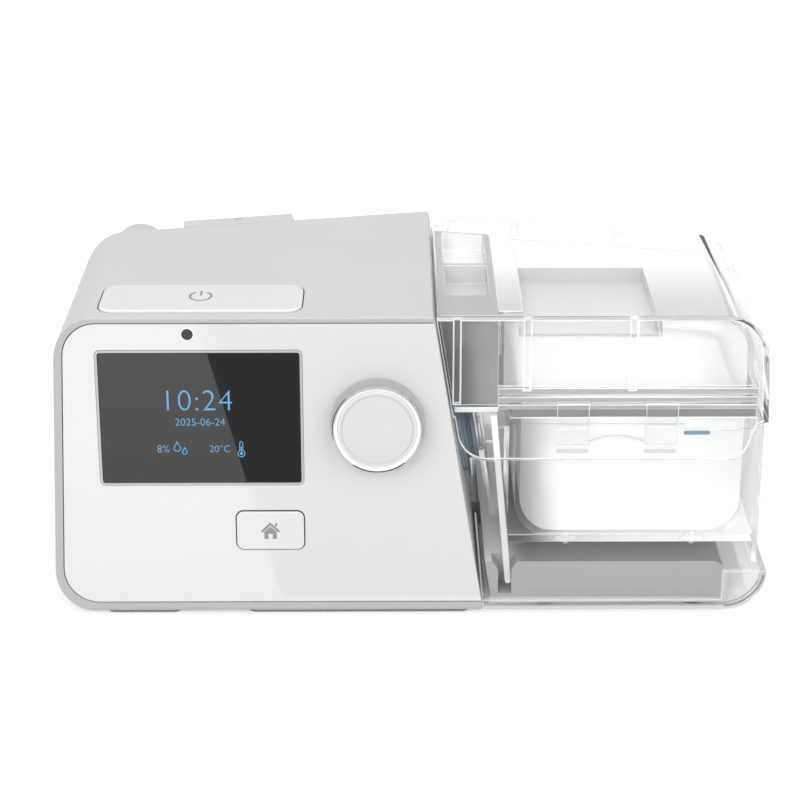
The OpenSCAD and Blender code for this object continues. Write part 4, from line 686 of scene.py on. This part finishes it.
def band(bm, inner, outer, start, sweep, thick, steps=48):
    """Part of a flat ring, from a start angle over a sweep, in degrees."""
    side = [bm.verts.new((r, 0, z)) for r, z in ((inner, 0), (outer, 0), (outer, thick), (inner, thick))]
    face = bm.faces.new(side)
    bmesh.ops.rotate(bm, verts=side, cent=(0, 0, 0), matrix=Matrix.Rotation(math.radians(start), 3, "Z"))
    bmesh.ops.spin(
        bm, geom=[face], cent=(0, 0, 0), axis=(0, 0, 1), angle=math.radians(sweep), steps=steps,
        use_merge=sweep >= 360,
    )


def arc_points(reach, radius, x=0.0, y=0.0):
    """Points round a circle from its lower end, as far as reach degrees to either side, every 20 degrees."""
    turns = [math.radians(degrees) for degrees in range(-reach, reach + 1, 20)]
    return [(x + radius * math.sin(turn), y - radius * math.cos(turn)) for turn in turns]


# Painted shade in the gaps round the two buttons: thin dark rings

GAP_SHADE_LINE = 0.33
GAP_SHADE_T = 0.5
GAP_SHADE_W = -0.6


def gap_shade(name, place, width, depth, corner):
    """A thin dark ring in the gap round a button: painted shade where the gap lies in shadow."""
    bm = bmesh.new()
    bmesh.ops.create_grid(bm, x_segments=1, y_segments=1, size=0.5)
    bmesh.ops.scale(bm, vec=(width, depth, 1), verts=bm.verts)
    bmesh.ops.bevel(
        bm, geom=bm.verts[:], offset=corner, affect="VERTICES", segments=8, profile=0.5, material=-1
    )
    bm.faces.ensure_lookup_table()
    raised(bm, bm.faces[0], GAP_SHADE_T, GAP_SHADE_LINE)
    as_piece(name, bm, "machine", gap_shade_black, place)


gap_shade("power_gap", on_roof(POWER_X, POWER_Y, ROOF_Z + GAP_SHADE_W), 74.3, 24.6, 5.8)
gap_shade("home_gap", on_face(HOME_U, HOME_V, GAP_SHADE_W), 25.5, 15.5, 2.95)

# Sign of the power button: an open ring with a stroke

SIGN_T = 0.06
power_icon = bmesh.new()
band(power_icon, 3.5, 4.3, 120, 300, SIGN_T)
bar(power_icon, -0.4, 0.5, 0.4, 4.8, SIGN_T)
power_top = on_roof(POWER_X - 0.5, POWER_Y + 0.8, ROOF_Z + POWER_RISE - 0.02)
as_piece("power_icon", power_icon, "power_button", icon_grey, power_top)

# Sign of the home button: a small house with its roof and chimney

HOUSE_ROOF = [(-3.6, -0.2), (0, 3.3), (3.6, -0.2), (2.9, -0.7), (0, 2.1), (-2.9, -0.7)]
HOUSE_BODY = [
    (-2.3, -0.4), (0, 1.6), (2.3, -0.4), (2.3, -3.2), (0.8, -3.2), (0.8, -1.2), (-0.8, -1.2), (-0.8, -3.2),
    (-2.3, -3.2),
]
house = bmesh.new()
flat_outline(house, HOUSE_ROOF, SIGN_T)
bar(house, 1.75, 1.75, 2.5, 3.0, SIGN_T)
flat_outline(house, HOUSE_BODY, SIGN_T)
as_piece("home_icon", house, "home_button", icon_grey, on_face(HOME_U, HOME_V, 0.68))

# Numbers and signs on the display

INK_T = 0.004
INK_LINE = 0.3


def number(name, text, size, u, v, thin=0.04, spread=1.0):
    """Lit numbers on the display; they lie on its glass."""
    letters = bpy.data.curves.new(name, "FONT")
    letters.body = text
    letters.size = size
    letters.align_x = "CENTER"
    letters.align_y = "CENTER"
    letters.offset = -thin
    letters.space_character = spread
    letters.extrude = INK_T
    letters.resolution_u = 6
    words = bpy.data.objects.new(name + "_text", letters)
    mesh = bpy.data.meshes.new_from_object(words)
    bpy.data.objects.remove(words)
    bm = bmesh.new()
    bm.from_mesh(mesh)
    bmesh.ops.remove_doubles(bm, verts=bm.verts, dist=1e-4)
    as_piece(name, bm, "machine", screen_ink, on_face(u, v, GLASS_W))


number("clock_numbers", "10:24", 11.4, -77.9, 82.3, 0.2, 1.06)
number("date_numbers", "2025-06-24", 3.95, -76.9, 74.4)
number("level_number", "8%", 4.0, -90.6, INK_ROW_V)
number("warmth_number", "20°C", 3.7, -70.0, INK_ROW_V)

drops = bmesh.new()
for x, y, r in ((-1.2, 0.4, 1.35), (1.5, -1.1, 1.0)):
    flat_outline(drops, arc_points(140, r, x, y) + [(x, y + 2.1 * r)], INK_T, INK_LINE)
as_piece("drop_sign", drops, "machine", screen_ink, on_face(-84.3, INK_ROW_V, GLASS_W))

warmth = bmesh.new()
tube = [(0.68, 4.1), (0.36, 4.7), (-0.36, 4.7), (-0.68, 4.1)]
flat_outline(warmth, arc_points(150, 1.4) + tube, INK_T, INK_LINE)
band(warmth, 0.0, 0.55, 0, 360, INK_T, 16)
bar(warmth, -0.2, 0.5, 0.2, 2.6, INK_T)
as_piece("warmth_sign", warmth, "machine", screen_ink, on_face(-62.2, INK_ROW_V - 1.7, GLASS_W))

# Bright ring round the light sensor

sensor_ring = bmesh.new()
band(sensor_ring, 2.08, 2.5, 0, 360, 0.05)
as_piece("sensor_ring", sensor_ring, "machine", rim_white, on_face(SENSOR_U, SENSOR_V, -0.01))

# Level mark on the tank

mark = bmesh.new()
flat_outline(mark, [(-4.9, 0), (-4.5, -0.7), (4.5, -0.7), (4.9, 0), (4.5, 0.7), (-4.5, 0.7)], 0.1)
as_piece("level_mark", mark, "tank", level_blue, on_face(104.6, 68.7, TANK_WALL_W))

# Painted dark reflections: two darker lines along the round corner of the clear skirt

skirt_corner = on_face(SKIRT_CORNER_U, SKIRT_CORNER_V, -0.08)
for index, (radius, line, sweep) in enumerate(((14.9, 0.75, 74), (13.7, 0.4, 64))):
    corner_reflection_line = bmesh.new()
    band(corner_reflection_line, radius, radius + line, 274, sweep, 0.1)
    as_piece("corner_line_%d" % index, corner_reflection_line, "machine", icon_grey, skirt_corner)

# Thin arch that joins the two clips, and a step in the tank's wall below each of them

arch_line = bmesh.new()
band(arch_line, 23.5, 24.0, 64.6, 50.8, 0.12)
as_piece("clip_arch", arch_line, "tank", rim_grey, on_face(75.1, 44.0, TANK_WALL_W))
for index, clip_u in enumerate(CLIPS_U):
    step = bmesh.new()
    bar(step, -5.8, -0.75, 5.8, 0.75, 0.12)
    as_piece("clip_step_%d" % index, step, "tank", rim_grey, on_face(clip_u, 61.7, TANK_WALL_W))

# Glassy bosses on the front edge of the tank's foot plate

for index, boss_u in enumerate(FOOT_BOSSES_U):
    boss = bmesh.new()
    bmesh.ops.create_uvsphere(boss, u_segments=32, v_segments=16, radius=1.0)
    bmesh.ops.scale(boss, vec=(4.6, 1.5, 1.1), verts=boss.verts)
    bump = bmesh.ops.create_uvsphere(boss, u_segments=24, v_segments=12, radius=1.0)["verts"]
    bmesh.ops.scale(boss, vec=(1.5, 2.3, 1.5), verts=bump)
    boss_piece = as_piece("foot_boss_%d" % index, boss, "tank", lid_clear, on_face(boss_u, 27.3, -4.9))
    for face in boss_piece.data.polygons:
        face.use_smooth = True

# Floor, light and camera, in metres

FLOOR_HALF = 6.0
FLOOR_GREY = 0.85
FLOOR_GLOW = 0.35
FLAG_NEAR_Y = -0.101
FLAG_FAR_Y = -3.0
FLAG_Z = 0.001
CAMERA_AT = (-0.00716, -0.63277, 0.37597)
CAMERA_DOWN = 27.0
CAMERA_TURN = -0.00494
LENS_MM = 80.28


def seen_directly(tree):
    """One for rays of the camera, of mirrors and of glass, and zero for all others."""
    ray = tree.nodes.new("ShaderNodeLightPath")
    seen = ray.outputs["Is Camera Ray"]
    for kind in ("Is Glossy Ray", "Is Transmission Ray"):
        either = tree.nodes.new("ShaderNodeMath")
        either.operation = "MAXIMUM"
        tree.links.new(seen, either.inputs[0])
        tree.links.new(ray.outputs[kind], either.inputs[1])
        seen = either.outputs[0]
    return seen


def dull_paint(name, level, roughness):
    """A plain grey finish without any gloss."""
    finish, tree, shader = new_finish(name)
    shader.inputs["Base Color"].default_value = (level, level, level, 1)
    shader.inputs["Roughness"].default_value = roughness
    shader.inputs["Specular IOR Level"].default_value = 0.0
    return finish, tree, shader


def white_floor():
    """A large pale floor that stays white round the object and keeps its shadow."""
    finish, tree, shader = dull_paint("floor_white", FLOOR_GREY, 0.9)
    glow = tree.nodes.new("ShaderNodeEmission")
    glow.inputs["Strength"].default_value = FLOOR_GLOW
    both = tree.nodes.new("ShaderNodeAddShader")
    pick = tree.nodes.new("ShaderNodeMixShader")
    tree.links.new(shader.outputs["BSDF"], both.inputs[0])
    tree.links.new(glow.outputs["Emission"], both.inputs[1])
    tree.links.new(seen_directly(tree), pick.inputs["Fac"])
    tree.links.new(shader.outputs["BSDF"], pick.inputs[1])
    tree.links.new(both.outputs["Shader"], pick.inputs[2])
    tree.links.new(pick.outputs["Shader"], tree.nodes["Material Output"].inputs["Surface"])
    bm = bmesh.new()
    bmesh.ops.create_grid(bm, x_segments=1, y_segments=1, size=FLOOR_HALF)
    placed_mesh("floor", bm, finish)


def dark_flag():
    """A dark card on the floor in front, seen only in mirrors: its slanting edge runs across the glossy panel."""
    finish, _, _ = dull_paint("flag_black", 0.01, 1.0)
    bm = bmesh.new()
    bmesh.ops.create_grid(bm, x_segments=1, y_segments=1, size=0.5)
    for corner in bm.verts:
        y = FLAG_NEAR_Y if corner.co.y > 0 else FLAG_FAR_Y
        on_left = corner.co.x < 0
        near_x, slant = (-0.0504, 0.1293) if on_left else (0.03, -0.055)
        corner.co = Vector((near_x + (y - FLAG_NEAR_Y) * slant, y, FLAG_Z))
    card = placed_mesh("dark_flag", bm, finish)
    card.visible_camera = False
    card.visible_diffuse = False
    card.visible_transmission = False
    card.visible_shadow = False


def soft_lamp(name, place, aim, size, power):
    """A rectangular lamp that no mirror shows."""
    lamp = bpy.data.lights.new(name, "AREA")
    lamp.shape = "RECTANGLE"
    lamp.size, lamp.size_y = size
    lamp.energy = power
    holder = bpy.data.objects.new(name, lamp)
    holder.location = place
    holder.rotation_euler = (Vector(aim) - Vector(place)).to_track_quat("-Z", "Y").to_euler()
    holder.visible_glossy = False
    bpy.context.scene.collection.objects.link(holder)


def room_light(level):
    """White seen by the camera, mirrors and glass, and a plain grey light for everything else."""
    world = bpy.data.worlds.new("room")
    bpy.context.scene.world = world
    world.use_nodes = True
    tree = world.node_tree
    back = tree.nodes["Background"]
    back.inputs["Color"].default_value = (1, 1, 1, 1)
    tree.links.new(between(tree, seen_directly(tree), level, 1.0), back.inputs["Strength"])


def photo_camera():
    """The photograph's view: a long lens, looking down."""
    lens = bpy.data.cameras.new("camera")
    lens.sensor_width = 36
    lens.lens = LENS_MM
    lens.clip_start = 0.05
    lens.clip_end = 20
    holder = bpy.data.objects.new("camera", lens)
    holder.location = CAMERA_AT
    holder.rotation_euler = (math.radians(90 - CAMERA_DOWN), 0, CAMERA_TURN)
    bpy.context.scene.collection.objects.link(holder)
    bpy.context.scene.camera = holder


white_floor()
dark_flag()
room_light(0.56)
soft_lamp("key", (-0.6, -1.3, 1.0), (0, 0, 0.05), (1.4, 1.0), 10.5)
soft_lamp("fill", (0.8, -1.0, 0.8), (0.05, 0, 0.05), (1.0, 0.8), 4)
soft_lamp("back", (0.2, 1.1, 1.0), (0.05, 0, 0.06), (1.6, 0.6), 5.5)
photo_camera()
bpy.context.scene.view_settings.view_transform = "Standard"
